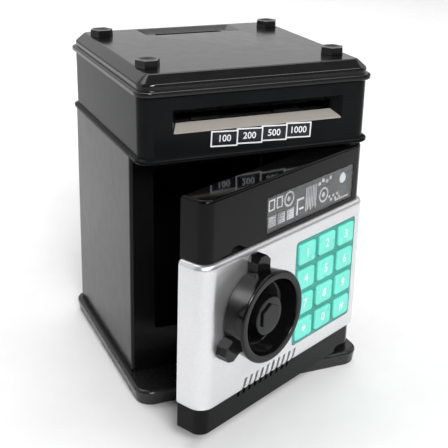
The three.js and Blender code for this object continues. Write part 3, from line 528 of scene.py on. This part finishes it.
def cap_place(i):
    lo, hi = node_box(f"hex_cap_{i + 1}")
    return (lo.x + hi.x) / 2, (lo.y + hi.y) / 2


def lid():
    """A lid with a bead at its foot, a round shoulder, a sloping edge, and a sunken coin slot."""
    low, top = lid_lo.z, lid_hi.z
    slope_out, slope_in = 1.15, 5.2
    bead = [
        (-0.5, 0.0), (-1.35, 0.12), (-1.78, 0.5), (-1.8, 1.0),
        (-1.8, 2.1), (-1.62, 2.6), (-1.1, 2.95), (-0.1, 3.1),
    ]
    rings = [(head_rect(inset), low + up) for inset, up in bead]
    shoulder = [(slope_out * (1 - x), top - 3.7 + 1.9 * (y - 1)) for x, y in arc(0, 0, 1, 0, 62, 6)]
    rings += [(head_rect(inset), z) for inset, z in [(0.0, low + 3.4), *shoulder]]
    crest = ((-0.35, 0.2), (0.1, 0.62), (0.55, 0.9), (1, 1))
    brow = [(slope_in + 0.9 * x, top - 0.55 * (1 - y)) for x, y in crest]
    rings += [(head_rect(inset, max(3.2, HEAD_CORNER - inset)), z) for inset, z in brow]
    outside = loft(rings)
    side = head_rect(WALL, 5)
    inside = loft([(side, low - PAST), (side, top - 5.3), (head_rect(5.9, 3), top - 3)])

    chute_lo, chute_hi = node_box("coin_chute")
    slot_y = (chute_lo.y + chute_hi.y) / 2
    recess_y = slot_y + 0.5
    recess_half_x, recess_half_y = 26.3, 6.5

    def recess_rect(grow):
        half_x, half_y = recess_half_x + grow, recess_half_y + grow
        return rounded_rect(SLOT_X - half_x, SLOT_X + half_x, recess_y - half_y, recess_y + half_y, 1.2)

    recess = loft([(recess_rect(0), top - 1.7), (recess_rect(4), top + 0.1)])
    half_x, half_y = 21.3, 2.3
    slot_plan = rounded_rect(SLOT_X - half_x, SLOT_X + half_x, slot_y - half_y, slot_y + half_y, 2.1)
    slot = prism(slot_plan, top - 2 * PAST, top + PAST)
    studs = []
    for i in range(CAPS):
        x, y = cap_place(i)
        studs.append(rod(2.3, top - 2 * PAST, top + PAST, x, y))
    shell = cut(outside, inside, recess, slot, *studs)
    piece("lid", shell, lid_black, "case", ["top_cover"], bevel=0.3)


def hex_caps():
    """Six-sided heads with a round dish in the top and a slight draft."""
    radius, draft = 6.75, 0.965
    base = lid_hi.z + 0.1
    for i in range(CAPS):
        lo, hi = node_box(f"hex_cap_{i + 1}")
        top = hi.z
        head_block = loft([(hexagon(radius), base), (hexagon(radius * draft), top)])
        hollow = [(0, -0.9), (2.4, -0.82), (4.2, -0.45), (5.2, 0.05), (5.2, 1), (0, 1)]
        dish = lathe([(r, top + up) for r, up in hollow], 48)
        stud = rod(2.0, lo.z, base + 1)
        cap = moved(join(cut(head_block, dish), stud), *cap_place(i))
        piece(f"cap_{i + 1}", cap, lid_black, "case", [f"hex_cap_{i + 1}"], bevel=0.4)


def value_strip():
    """Four printed value boxes with white borders and figures. Each leans and laps over the next one."""
    lo, hi = node_box("note_label")
    width, height, step, lift, border, lean = 15.2, 8.5, 14.15, 0.15, 0.75, -2.6
    sheet, ink, figure_size = 0.05, 0.04, 5.0
    plane = hi.y
    values = ("100", "200", "500", "1000")
    for i, value in enumerate(values):
        x = lo.x + width / 2 + i * step
        z = lo.z + 0.1 + height / 2 + i * lift
        out = sheet * (len(values) - i)

        def place(shape):
            return facing_front(moved(turned(shape, lean, "Z"), x, z), plane)

        def frame_line(inset, corner):
            half_x, half_y = width / 2 - inset, height / 2 - inset
            return rounded_rect(-half_x, half_x, -half_y, half_y, corner, 2)

        outer, inner = frame_line(0, 0.3), frame_line(border, 0.2)
        plate, rim = prism(outer, 0, out), cut(prism(outer, 0, out + ink), prism(inner, -1, 1))
        hidden = ["note_label"] if i == 0 else ()
        piece(f"value_box_{i + 1}", place(plate), print_black, "case", hidden)
        piece(f"value_frame_{i + 1}", place(rim), print_white, "case")
        figures = moved(lettering(value, figure_size, ink), z=out)
        piece(f"value_{i + 1}", place(figures), print_white, "case")


# ---- door ----
door_lo, door_hi = door_box("door_shell")
fascia_lo, fascia_hi = door_box("silver_fascia")
DOOR_FRONT = door_lo.y
DOOR_BACK = door_hi.y
FASCIA_PROUD = door_lo.y - fascia_lo.y
FASCIA_SEAT = 1.2
DOOR_CORNER = 6.0
DOOR_INSIDE = DOOR_FRONT + 3.4
NOSE = (DOOR_BACK - DOOR_FRONT) / 2
EDGE_FLARE = 2.6  # the free edge leans out by this much from the door's top to its foot


def door_plan(grow, z):
    """The door from above at a height: square at the back, with a half-round edge about the hinge pins."""
    nose = NOSE + grow
    left = door_lo.x - grow + EDGE_FLARE * (z - door_lo.z) / (door_hi.z - door_lo.z)
    corner = DOOR_CORNER + grow
    front = PIN.y - nose
    return [
        (PIN.x, PIN.y + nose), (left, PIN.y + nose),
        *arc(left + corner, front + corner, corner, 180, 270, 10),
        *arc(PIN.x, PIN.y, nose, -90, 80, 20),
    ]


def door_level(grow, z):
    return door_plan(grow, z), z


def door_slab(grow, z0, z1):
    return loft([door_level(grow, z0), door_level(grow, z1)])


def fascia_band(inner, outer, z0, z1):
    band = cut(door_slab(outer, z0, z1), door_slab(inner, z0 - 1, z1 + 1))
    behind = box(door_lo.x - PAST, door_hi.x + PAST, DOOR_BACK - 1, DOOR_BACK + PAST, z0 - 1, z1 + 1)
    behind_pins = box(PIN.x, door_hi.x + PAST, PIN.y + 1.5, DOOR_BACK + PAST, z0 - 1, z1 + 1)
    return cut(band, behind, behind_pins)


GRILLE_SLOTS, GRILLE_PITCH, GRILLE_X = 10, 4.65, -42.2
GRILLE_LOW, GRILLE_HIGH, GRILLE_LEAN, GRILLE_WIDTH = 21.4, 32.0, 4.0, 2.0


def grille():
    """Leaning slots across the edge between the door's foot and the silver."""
    slots = []
    for i in range(GRILLE_SLOTS):
        x, half = GRILLE_X + i * GRILLE_PITCH, GRILLE_WIDTH / 2
        outline = [
            (x - half, GRILLE_LOW), (x + half, GRILLE_LOW),
            (x + half + GRILLE_LEAN, GRILLE_HIGH), (x - half + GRILLE_LEAN, GRILLE_HIGH),
        ]
        slots.append(facing_front(prism(outline, -PAST, PAST), DOOR_FRONT))
    return slots


def pad(lo, hi, y0, y1, grow=0.0, corner=0.0):
    """A slab on the door's face with the outline of a box from lo to hi."""
    if corner:
        outline = rounded_rect(lo.x - grow, hi.x + grow, lo.z - grow, hi.z + grow, corner)
        return facing_front(prism(outline, -y1, -y0))
    return box(lo.x - grow, hi.x + grow, y0, y1, lo.z - grow, hi.z + grow)


lens_lo, lens_hi = door_box("window_lens")
plate_lo, plate_hi = door_box("keypad_plate")
spindle_lo, spindle_hi = door_box("knob_spindle")
KNOB = Vector(((spindle_lo.x + spindle_hi.x) / 2, 0, (spindle_lo.z + spindle_hi.z) / 2))
SPINDLE_HOLE = 4.3


def spindle_hole():
    """A rod that runs right through the closed door."""
    return facing_front(rod(SPINDLE_HOLE, 0, DEEP, KNOB.x, KNOB.z))


def door_shell():
    """The door's moulding: a seat for the silver cover, and openings for window, keys, spindle and pins."""
    edge, foot_edge = 1.5, 0.35
    rounding = [door_level(edge * (x - 1), door_hi.z - edge * (1 - y)) for x, y in arc(0, 0, 1, 0, 90, 6)]
    foot = [door_level(-foot_edge, door_lo.z), door_level(0, door_lo.z + foot_edge)]
    blank = loft([*foot, *rounding])
    room_left, room_right = door_lo.x + EDGE_FLARE + 2.4, 47.5
    room = box(room_left, room_right, DOOR_INSIDE, DOOR_BACK + PAST, door_lo.z + WALL, door_hi.z - WALL)
    seat = fascia_band(-FASCIA_SEAT, 3, fascia_lo.z - 0.25, fascia_hi.z + 0.25)
    display = pad(lens_lo, lens_hi, DOOR_FRONT - PAST, DOOR_INSIDE + 2, GAP)
    keys = pad(plate_lo, plate_hi, DOOR_FRONT - PAST, DOOR_INSIDE + 2, -1)
    pin_room, pin_deep = 2.4, 8.3
    pins = [
        rod(pin_room, door_lo.z - PAST, door_lo.z + pin_deep, PIN.x, PIN.y),
        rod(pin_room, door_hi.z - pin_deep, door_hi.z + PAST, PIN.x, PIN.y),
    ]
    shell = cut(blank, room, seat, display, keys, spindle_hole(), *pins, *grille())
    piece(
        "door_moulding", shell, gloss_black, "door", ["door_shell"], bevel=0.18, on_door=True
    )


def fascia():
    """The silver cover round the door's front and both its edges, with a rounded ledge along the top."""
    z0, z1 = fascia_lo.z, fascia_hi.z
    deep, tall = FASCIA_PROUD, 2.8
    rounding = [door_level(deep * x, z1 - tall * (1 - y)) for x, y in arc(0, 0, 1, 0, 88, 7)]
    lip = [(0.4, 0), (0.25, 0.7), (0.55, 0.85), (0.1, 1.1)]  # a fine line round the foot
    foot = [door_level(deep - inset, z0 + up) for inset, up in lip]
    blank = loft([*foot, *rounding])
    hole = door_slab(GAP - FASCIA_SEAT, z0 - 1, z1 + 1)
    behind = box(door_lo.x - PAST, door_hi.x + PAST, DOOR_BACK - 1.3, DOOR_BACK + PAST, z0 - 1, z1 + 1)
    behind_pins = box(PIN.x, door_hi.x + PAST, PIN.y + 1.2, DOOR_BACK + PAST, z0 - 1, z1 + 1)
    keypad = pad(plate_lo, plate_hi, DOOR_FRONT - PAST, DOOR_FRONT + PAST, GAP, corner=2.0)
    shell = cut(blank, hole, behind, behind_pins, keypad, spindle_hole(), *grille())
    piece("fascia", shell, silver, "door", ["silver_fascia"], bevel=0.2, on_door=True)


def window():
    """The clear lens, and the moulded panel of rings, studs, blocks and ribs behind it."""
    piece(
        "lens", pad(lens_lo, lens_hi, lens_lo.y, lens_hi.y), clear, "door", ["window_lens"],
        bevel=0.25, on_door=True,
    )
    lo, hi = door_box("window_relief")
    base, front = lens_hi.y + 1.2, lens_hi.y + GAP
    plate = box(lo.x, hi.x, base, hi.y, lo.z, hi.z)
    sunk = base + 0.2  # each detail starts a little inside the plate
    height = sunk - front
    lamp_lo, lamp_hi = door_box("status_lamp")
    lamp_x, lamp_z = (lamp_lo.x + lamp_hi.x) / 2, (lamp_lo.z + lamp_hi.z) / 2
    middle = (lo.z + hi.z) / 2
    details = []

    def ring(x, z, outer, inner):
        wheel = cut(rod(outer, 0, height, x, z, 40), rod(inner, -1, height + 1, x, z, 40))
        details.append(facing_front(wheel, sunk))
        details.append(facing_front(rod(inner * 0.45, 0, height * 0.8, x, z, 24), sunk))

    def bar(x0, x1, z0, z1, share=1.0):
        details.append(box(x0, x1, sunk - height * share, sunk, z0, z1))

    ring(-3.5, middle + 4.2, 4.2, 3.1)
    ring(27.5, middle - 1.8, 4.3, 3.2)
    stud_x, stud_z, stud_step, row_drop = 33.0, middle - 4.4, 1.9, 2.1
    for i in range(6):  # studs in two rows, by turns
        stud = rod(0.9, 0, height, stud_x + i * stud_step, stud_z - (i % 2) * row_drop, 16)
        details.append(facing_front(stud, sunk))
    rib_x, rib_step, rib_wide = 11.2, 1.45, 0.7
    for i in range(7):  # upright ribs
        x = rib_x + i * rib_step
        bar(x, x + rib_wide, middle - 7.2 + (i % 3) * 0.8, middle + 6.4)
    block_x, block_step, block_wide, fin, fin_step = -19.5, 7.6, 5.8, 0.6, 1.4
    for i in range(3):  # blocks, each with fine bars across
        x = block_x + i * block_step
        bar(x, x + block_wide, middle - 7.6, middle - 1.8, 0.55)
        for k in range(4):
            z = middle - 7.0 + k * fin_step
            bar(x + fin, x + block_wide - fin, z, z + fin)
    rim_x, rim_step, rim_wide, rim_low, rim_high, rim = -20.5, 6.5, 5.0, middle + 1.5, middle + 7.6, 0.8
    for i in range(2):  # square rims at the left end
        x0 = rim_x + i * rim_step
        x1 = x0 + rim_wide
        details.append(cut(
            box(x0, x1, front, sunk, rim_low, rim_high),
            box(x0 + rim, x1 - rim, front - 1, sunk + 1, rim_low + rim, rim_high - rim),
        ))
    step_x, step, step_wide, step_high, step_rise = 22.0, 3.4, 2.2, 2.0, 1.2
    for i in range(4):  # short steps above the second ring
        x, z = step_x + i * step, middle + 4.4 + (i % 2) * step_rise
        bar(x, x + step_wide, z, z + step_high)
    bar(3.2, 9.4, middle + 0.8, middle + 2.0)
    bar(3.2, 4.4, middle - 7.0, middle + 2.0)
    bar(5.6, 9.4, middle - 4.6, middle - 3.4)
    bar(38.5, 51.5, middle - 8.4, middle - 7.4)
    radius, crown = 3.2, 2.4
    plate = cut(plate, facing_front(rod(radius + GAP, -DEEP, DEEP, lamp_x, lamp_z)))
    # The plate gets the darkened copy of the relief's silver and the details get the bright copy: painted
    # shade behind the details
    piece("relief_plate", plate, relief_painted_shade, "door", ["window_relief"], on_door=True)
    piece(
        "relief", join(*details), relief_silver, "door", bevel=0.16, segments=2, on_door=True
    )
    bulge = [(r * radius, -lamp_lo.y - crown + h * crown) for r, h in arc(0, 0, 1, 0, 84, 8)]
    dome = [(0, -lamp_hi.y), (radius, -lamp_hi.y), *bulge, (0, -lamp_lo.y)]
    lamp = facing_front(moved(lathe(dome, 40), lamp_x, lamp_z))
    piece("lamp", lamp, lamp_milk, "door", ["status_lamp"], on_door=True)


KEY_FIGURES = ("1", "2", "3", "4", "5", "6", "7", "8", "9", "*", "0", "#")


def keypad():
    """The turquoise plate, and keys with a crowned cap, a stem and a figure each."""
    centres = []
    for i in range(len(KEY_FIGURES)):
        lo, hi = door_box(f"key_{i + 1}")
        centres.append(((lo.x + hi.x) / 2, (lo.z + hi.z) / 2))
    key_lo, key_hi = door_box("key_1")
    half_x, half_z = (key_hi.x - key_lo.x) / 2, (key_hi.z - key_lo.z) / 2
    plate_corner, key_corner = 2.0, 1.6

    def key_outline(x, z, grow, corner):
        across, along = half_x + grow, half_z + grow
        return rounded_rect(x - across, x + across, z - along, z + along, corner, 5)

    holes = [
        facing_front(prism(key_outline(x, z, GAP, key_corner + GAP), -2 * PAST, 2 * PAST), DOOR_FRONT)
        for x, z in centres
    ]
    plate = cut(pad(plate_lo, plate_hi, plate_lo.y, plate_hi.y, 0, plate_corner), *holes)
    piece("keypad_surround", plate, keypad_teal, "door", ["keypad_plate"], bevel=0.2, on_door=True)
    deep = key_hi.y - key_lo.y
    cap_deep, edge, stem_x, stem_z, ink = 3.2, 0.75, 3.0, 2.5, 0.06
    flat_inset, dish_deep = 2.4, 0.12  # the top dips a little towards its middle

    def level(inset, out):
        return key_outline(0, 0, -inset, key_corner), out

    for i, ((x, z), figure) in enumerate(zip(centres, KEY_FIGURES)):
        crown = [level(edge * (1 - c), cap_deep - edge * (1 - s)) for c, s in arc(0, 0, 1, 0, 90, 5)]
        stem = box(-stem_x, stem_x, -stem_z, stem_z, cap_deep - deep, 0.5)
        cap = join(loft([level(0, 0), *crown, level(flat_inset, cap_deep - dish_deep)]), stem)
        cap = facing_front(moved(cap, x, z), key_lo.y + cap_deep)
        button = f"button_{i + 1}"
        piece(f"key_cap_{i + 1}", cap, key_mint, button, [f"key_{i + 1}"], on_door=True)
        size, drop = (8.5, 1.6) if figure == "*" else (7.0, 0.0)  # a star stands high and small in its line
        sign = facing_front(moved(lettering(figure, size, ink), x, z - drop), key_lo.y + 0.1)
        piece(f"key_figure_{i + 1}", sign, print_white, button, on_door=True)


LUGS = 3
LUG_STANDS = 9.0  # how far the lugs stand out from the door's face


def knob():
    """A deep dish with a hub, and three square-ended lugs with their corners taken off."""
    wheel_lo, wheel_hi = door_box("knob_wheel")
    base, rim = -wheel_hi.y, -wheel_lo.y
    floor = rim - 10.6
    hub = rim - 2.6
    lip = 1.3
    wall = [(22.2, base), (22.75, base + 0.35), (22.95, base + 1.2), *arc(23.0, rim - lip, lip, 0, 90, 6)]
    inner_wall = [
        (21.0, rim), (20.3, rim - 0.25), (19.85, rim - 0.9),
        (18.5, floor + 2.4), (18.1, floor + 1.1), (17.4, floor + 0.3), (16.4, floor),
    ]
    hub_side = [
        (13.2, floor), (12.2, floor + 0.3), (11.7, floor + 1.2),
        (10.3, hub - 0.8), (10.0, hub - 0.25), (9.4, hub),
    ]
    dish = lathe([(0, base), *wall, *inner_wall, *hub_side, (0, hub)], 128)
    lug_out = LUG_STANDS - DOOR_FRONT
    half, reach, chamfer, root = 5.0, 31.2, 2.9, 20.0
    lugs = []
    for i in range(LUGS):
        outline = [
            (root, -half), (reach - chamfer, -half), (reach, -half + chamfer), (reach, half - chamfer),
            (reach - chamfer, half), (root, half),
        ]
        lug = prism(outline, base, lug_out)
        lugs.append(turned(lug, 90 + 360 / LUGS * i, "Z"))
    spindle_room, bore_top = 4.1, rim - 5
    bore = rod(spindle_room, base - PAST, bore_top)
    wheel = cut(join(dish, *lugs), bore)
    wheel = facing_front(moved(wheel, KNOB.x, KNOB.z))
    piece("knob", wheel, knob_black, "knob", ["knob_wheel"], bevel=0.55, on_door=True)

    cap_lo, cap_hi = door_box("knob_cap")
    radius, edge = 7.2, 0.3
    side = hexagon(radius)
    cap = loft([(side, -cap_hi.y), (side, -cap_lo.y - edge), (hexagon(radius - edge), -cap_lo.y)])
    cap = facing_front(moved(turned(cap, 30, "Z"), KNOB.x, KNOB.z))
    piece("knob_hub_cap", cap, knob_black, "knob", ["knob_cap"], bevel=0.25, on_door=True)


def screw_head(radius, height):
    """A domed head with a cross recess, standing on z = 0."""
    profile = [(0, 0), (1, 0), (1, 0.5), (0.9, 0.8), (0.5, 1), (0, 1)]
    dome = lathe([(radius * r, height * h) for r, h in profile], 32)
    arm, width, foot = radius * 0.62, radius * 0.17, height * 0.35
    slots = [box(-x, x, -y, y, foot, height + 1) for x, y in ((arm, width), (width, arm))]
    return cut(dome, *slots)


def facing_back(shape, x, y, z):
    """Turns a shape that stands on z = 0 so that it stands out towards the back at that place."""
    return moved(turned(shape, -90, "X"), x, y, z)


def door_back():
    """The cover over the back of the door, with shallow grooves, and its screws."""
    lo, hi = door_box("door_back_cover")
    plate = box(lo.x, hi.x, lo.y, hi.y, lo.z, hi.z)
    tools = [spindle_hole()]
    groove_left, groove_right, groove_foot = lo.x + 31, hi.x - 9, lo.z + 16
    pitch, width, deep = 3.2, 1.3, 0.7
    for i in range(9):
        z = groove_foot + i * pitch
        tools.append(box(groove_left, groove_right, hi.y - deep, hi.y + 1, z, z + width))
    places = []
    for i in range(4):
        s_lo, s_hi = door_box(f"door_screw_{i + 1}")
        places.append(((s_lo.x + s_hi.x) / 2, (s_lo.z + s_hi.z) / 2, s_hi.y))
        tools.append(facing_front(rod(3.0, -20, 1.7, places[-1][0], places[-1][1]), hi.y))
    piece(
        "door_cover", cut(plate, *tools), inner_black, "door", ["door_back_cover"],
        bevel=0.3, on_door=True,
    )
    head_high, shank_long = 1.2, 8.1
    for i, (x, z, top) in enumerate(places):
        screw = join(screw_head(2.7, head_high), rod(1.2, -shank_long, 0.2))
        piece(
            f"cover_screw_{i + 1}", facing_back(screw, x, top - head_high, z), steel, "door",
            [f"door_screw_{i + 1}"], on_door=True,
        )


def lock():
    """The tongue and its nut on the spindle, and the plate that the tongue goes behind."""
    eye = 3.3
    lo, hi = door_box("lock_tongue")
    outline = rounded_rect(lo.x, hi.x, lo.z, hi.z, 4.6, 10)
    tongue = facing_front(cut(prism(outline, -hi.y, -lo.y), rod(eye, -DEEP, DEEP, KNOB.x, KNOB.z)))
    piece("tongue", tongue, steel, "knob", ["lock_tongue"], bevel=0.35, on_door=True)
    lo, hi = door_box("tongue_nut")
    radius, edge = 5.0, 0.4
    nut = loft([
        (hexagon(radius - edge), -hi.y), (hexagon(radius), -hi.y + edge), (hexagon(radius), -lo.y),
    ])
    nut = cut(moved(turned(nut, 30, "Z"), KNOB.x, KNOB.z), rod(eye, -DEEP, DEEP, KNOB.x, KNOB.z))
    piece("nut", facing_front(nut), brass, "knob", ["tongue_nut"], bevel=0.15, on_door=True)
    lo, hi = node_box("strike_plate")
    strike = facing_front(prism(rounded_rect(lo.x, hi.x, lo.z, hi.z, 1.2, 5), -hi.y, -lo.y))
    piece("strike", strike, steel, "case", ["strike_plate"], bevel=0.2)


def battery_door():
    """The cover under the bay, with a few finger grooves, and its screw."""
    lo, hi = node_box("battery_cover")
    s_lo, s_hi = node_box("battery_cover_screw")
    head_radius, seat = 1.9, 1.6
    y = (s_lo.y + s_hi.y) / 2
    head_x = s_lo.x + head_radius
    shank_x = head_x + 0.6
    tools = [rod(2.6, -PAST, seat, head_x, y), rod(1.35, -PAST, PAST, shank_x, y)]
    middle, half, pitch = (lo.y + hi.y) / 2, 9.0, 2.4
    for i in range(6):
        groove = lo.x + 8 + i * pitch
        tools.append(box(groove, groove + pitch / 2, middle - half, middle + half, -1, lo.z + 0.5))
    cover = cut(box(lo.x, hi.x, lo.y, hi.y, lo.z, hi.z), *tools)
    piece("bay_cover", cover, foot_black, "case", ["battery_cover"], bevel=0.25)
    screw = moved(turned(screw_head(head_radius, 0.9), 180, "X"), head_x, y, 1.42)
    shank = rod(1.0, 1.2, s_hi.z, shank_x, y)
    piece("bay_screw", join(screw, shank), steel, "case", ["battery_cover_screw"])


plinth()
body()
head()
ramp()
lid()
hex_caps()
value_strip()
door_shell()
fascia()
window()
keypad()
knob()
door_back()
lock()
battery_door()

for finish, nodes in (
    (inner_black, ("coin_chute", "feed_bracket_left", "feed_bracket_right", "battery_tray", "speaker")),
    (steel, ("feed_motor", "battery_springs", "hinge_pin_top", "hinge_pin_bottom", "solenoid_plunger")),
    (nylon, ("motor_pinion", "feed_gear", "knob_spindle")),
    (rubber, ("feed_roller", "idler_roller")),
    (cell_blue, ("battery_cell_1", "battery_cell_2", "battery_cell_3")),
    (board_green, ("keypad_board",)),
    (copper, ("solenoid_coil",)),
):
    for node in nodes:
        dress(node, finish)


# ---- floor, light and camera ----
def stage_floor():
    reach, thick, below = 4000, 4, 0.05
    shape = box(-reach, reach, -reach, reach, -thick, -below)
    shape.transform(Matrix.Scale(MM, 4))
    mesh = bpy.data.meshes.new("floor")
    shape.to_mesh(mesh)
    shape.free()
    obj = bpy.data.objects.new("floor", mesh)
    bpy.context.scene.collection.objects.link(obj)
    paper = plastic("floor_paper", (0.86, 0.86, 0.86), 0.8, spread=0.01, Specular_IOR_Level=0.1)
    mesh.materials.append(paper)


def softbox(name, place, target, width, height, radiance, spread=180):
    light = bpy.data.lights.new(name, "AREA")
    light.spread = math.radians(spread)
    light.shape = "RECTANGLE"
    light.size, light.size_y = width, height
    light.energy = radiance * math.pi * width * height
    obj = bpy.data.objects.new(name, light)
    obj.location = place
    obj.rotation_mode = "QUATERNION"
    obj.rotation_quaternion = (Vector(target) - Vector(place)).to_track_quat("-Z", "Y")
    obj.visible_camera = False
    bpy.context.scene.collection.objects.link(obj)


def room_light(strength):
    world = bpy.data.worlds.new("studio")
    world.use_nodes = True
    background = world.node_tree.nodes["Background"]
    background.inputs["Color"].default_value = (1.0, 1.0, 1.0, 1)
    background.inputs["Strength"].default_value = strength
    bpy.context.scene.world = world


stage_floor()
room_light(0.06)
MIDDLE = (0.0, 0.0, 0.09)
softbox("back_softbox", (-0.1, 1.9, 0.95), MIDDLE, 3.6, 1.5, 0.74)
softbox("left_softbox", (-1.5, 0.45, 0.75), MIDDLE, 1.4, 1.2, 0.9)
softbox("right_softbox", (1.6, 0.25, 0.9), MIDDLE, 1.4, 1.2, 0.9)
softbox("top_softbox", (0.0, 0.95, 2.0), (0.0, 0.95, 0.0), 2.4, 1.2, 1.6, 100)
softbox("brow_softbox", (0.75, -1.15, 1.9), MIDDLE, 1.7, 0.6, 4.4)
softbox("front_softbox", (-0.2, -1.5, 1.15), (0.0, 0.0, 0.1), 0.7, 0.5, 3.0, 60)


def camera():
    """A camera from its bearing, its tilt and roll, and the point that it looks at."""
    azimuth, elevation, roll = (math.radians(a) for a in (-23.4393, 21.9168, 1.1541))
    distance, focus = 0.629338, Vector((0.026933, 0.042901, 0.053878))
    level = math.cos(elevation)
    back = Vector((math.sin(azimuth) * level, -math.cos(azimuth) * level, math.sin(elevation)))
    right = (-back).cross(Vector((0, 0, 1))).normalized()
    up = back.cross(right)
    across = right * math.cos(roll) + up * math.sin(roll)
    upward = up * math.cos(roll) - right * math.sin(roll)
    data = bpy.data.cameras.new("camera")
    data.sensor_width = 36.0
    data.lens = 76.13
    data.clip_start, data.clip_end = 0.01, 20.0
    obj = bpy.data.objects.new("camera", data)
    obj.matrix_world = Matrix((
        (across.x, upward.x, back.x, focus.x + back.x * distance),
        (across.y, upward.y, back.y, focus.y + back.y * distance),
        (across.z, upward.z, back.z, focus.z + back.z * distance),
        (0, 0, 0, 1),
    ))
    bpy.context.scene.collection.objects.link(obj)
    bpy.context.scene.camera = obj


camera()
bpy.context.scene.view_settings.view_transform = "Standard"
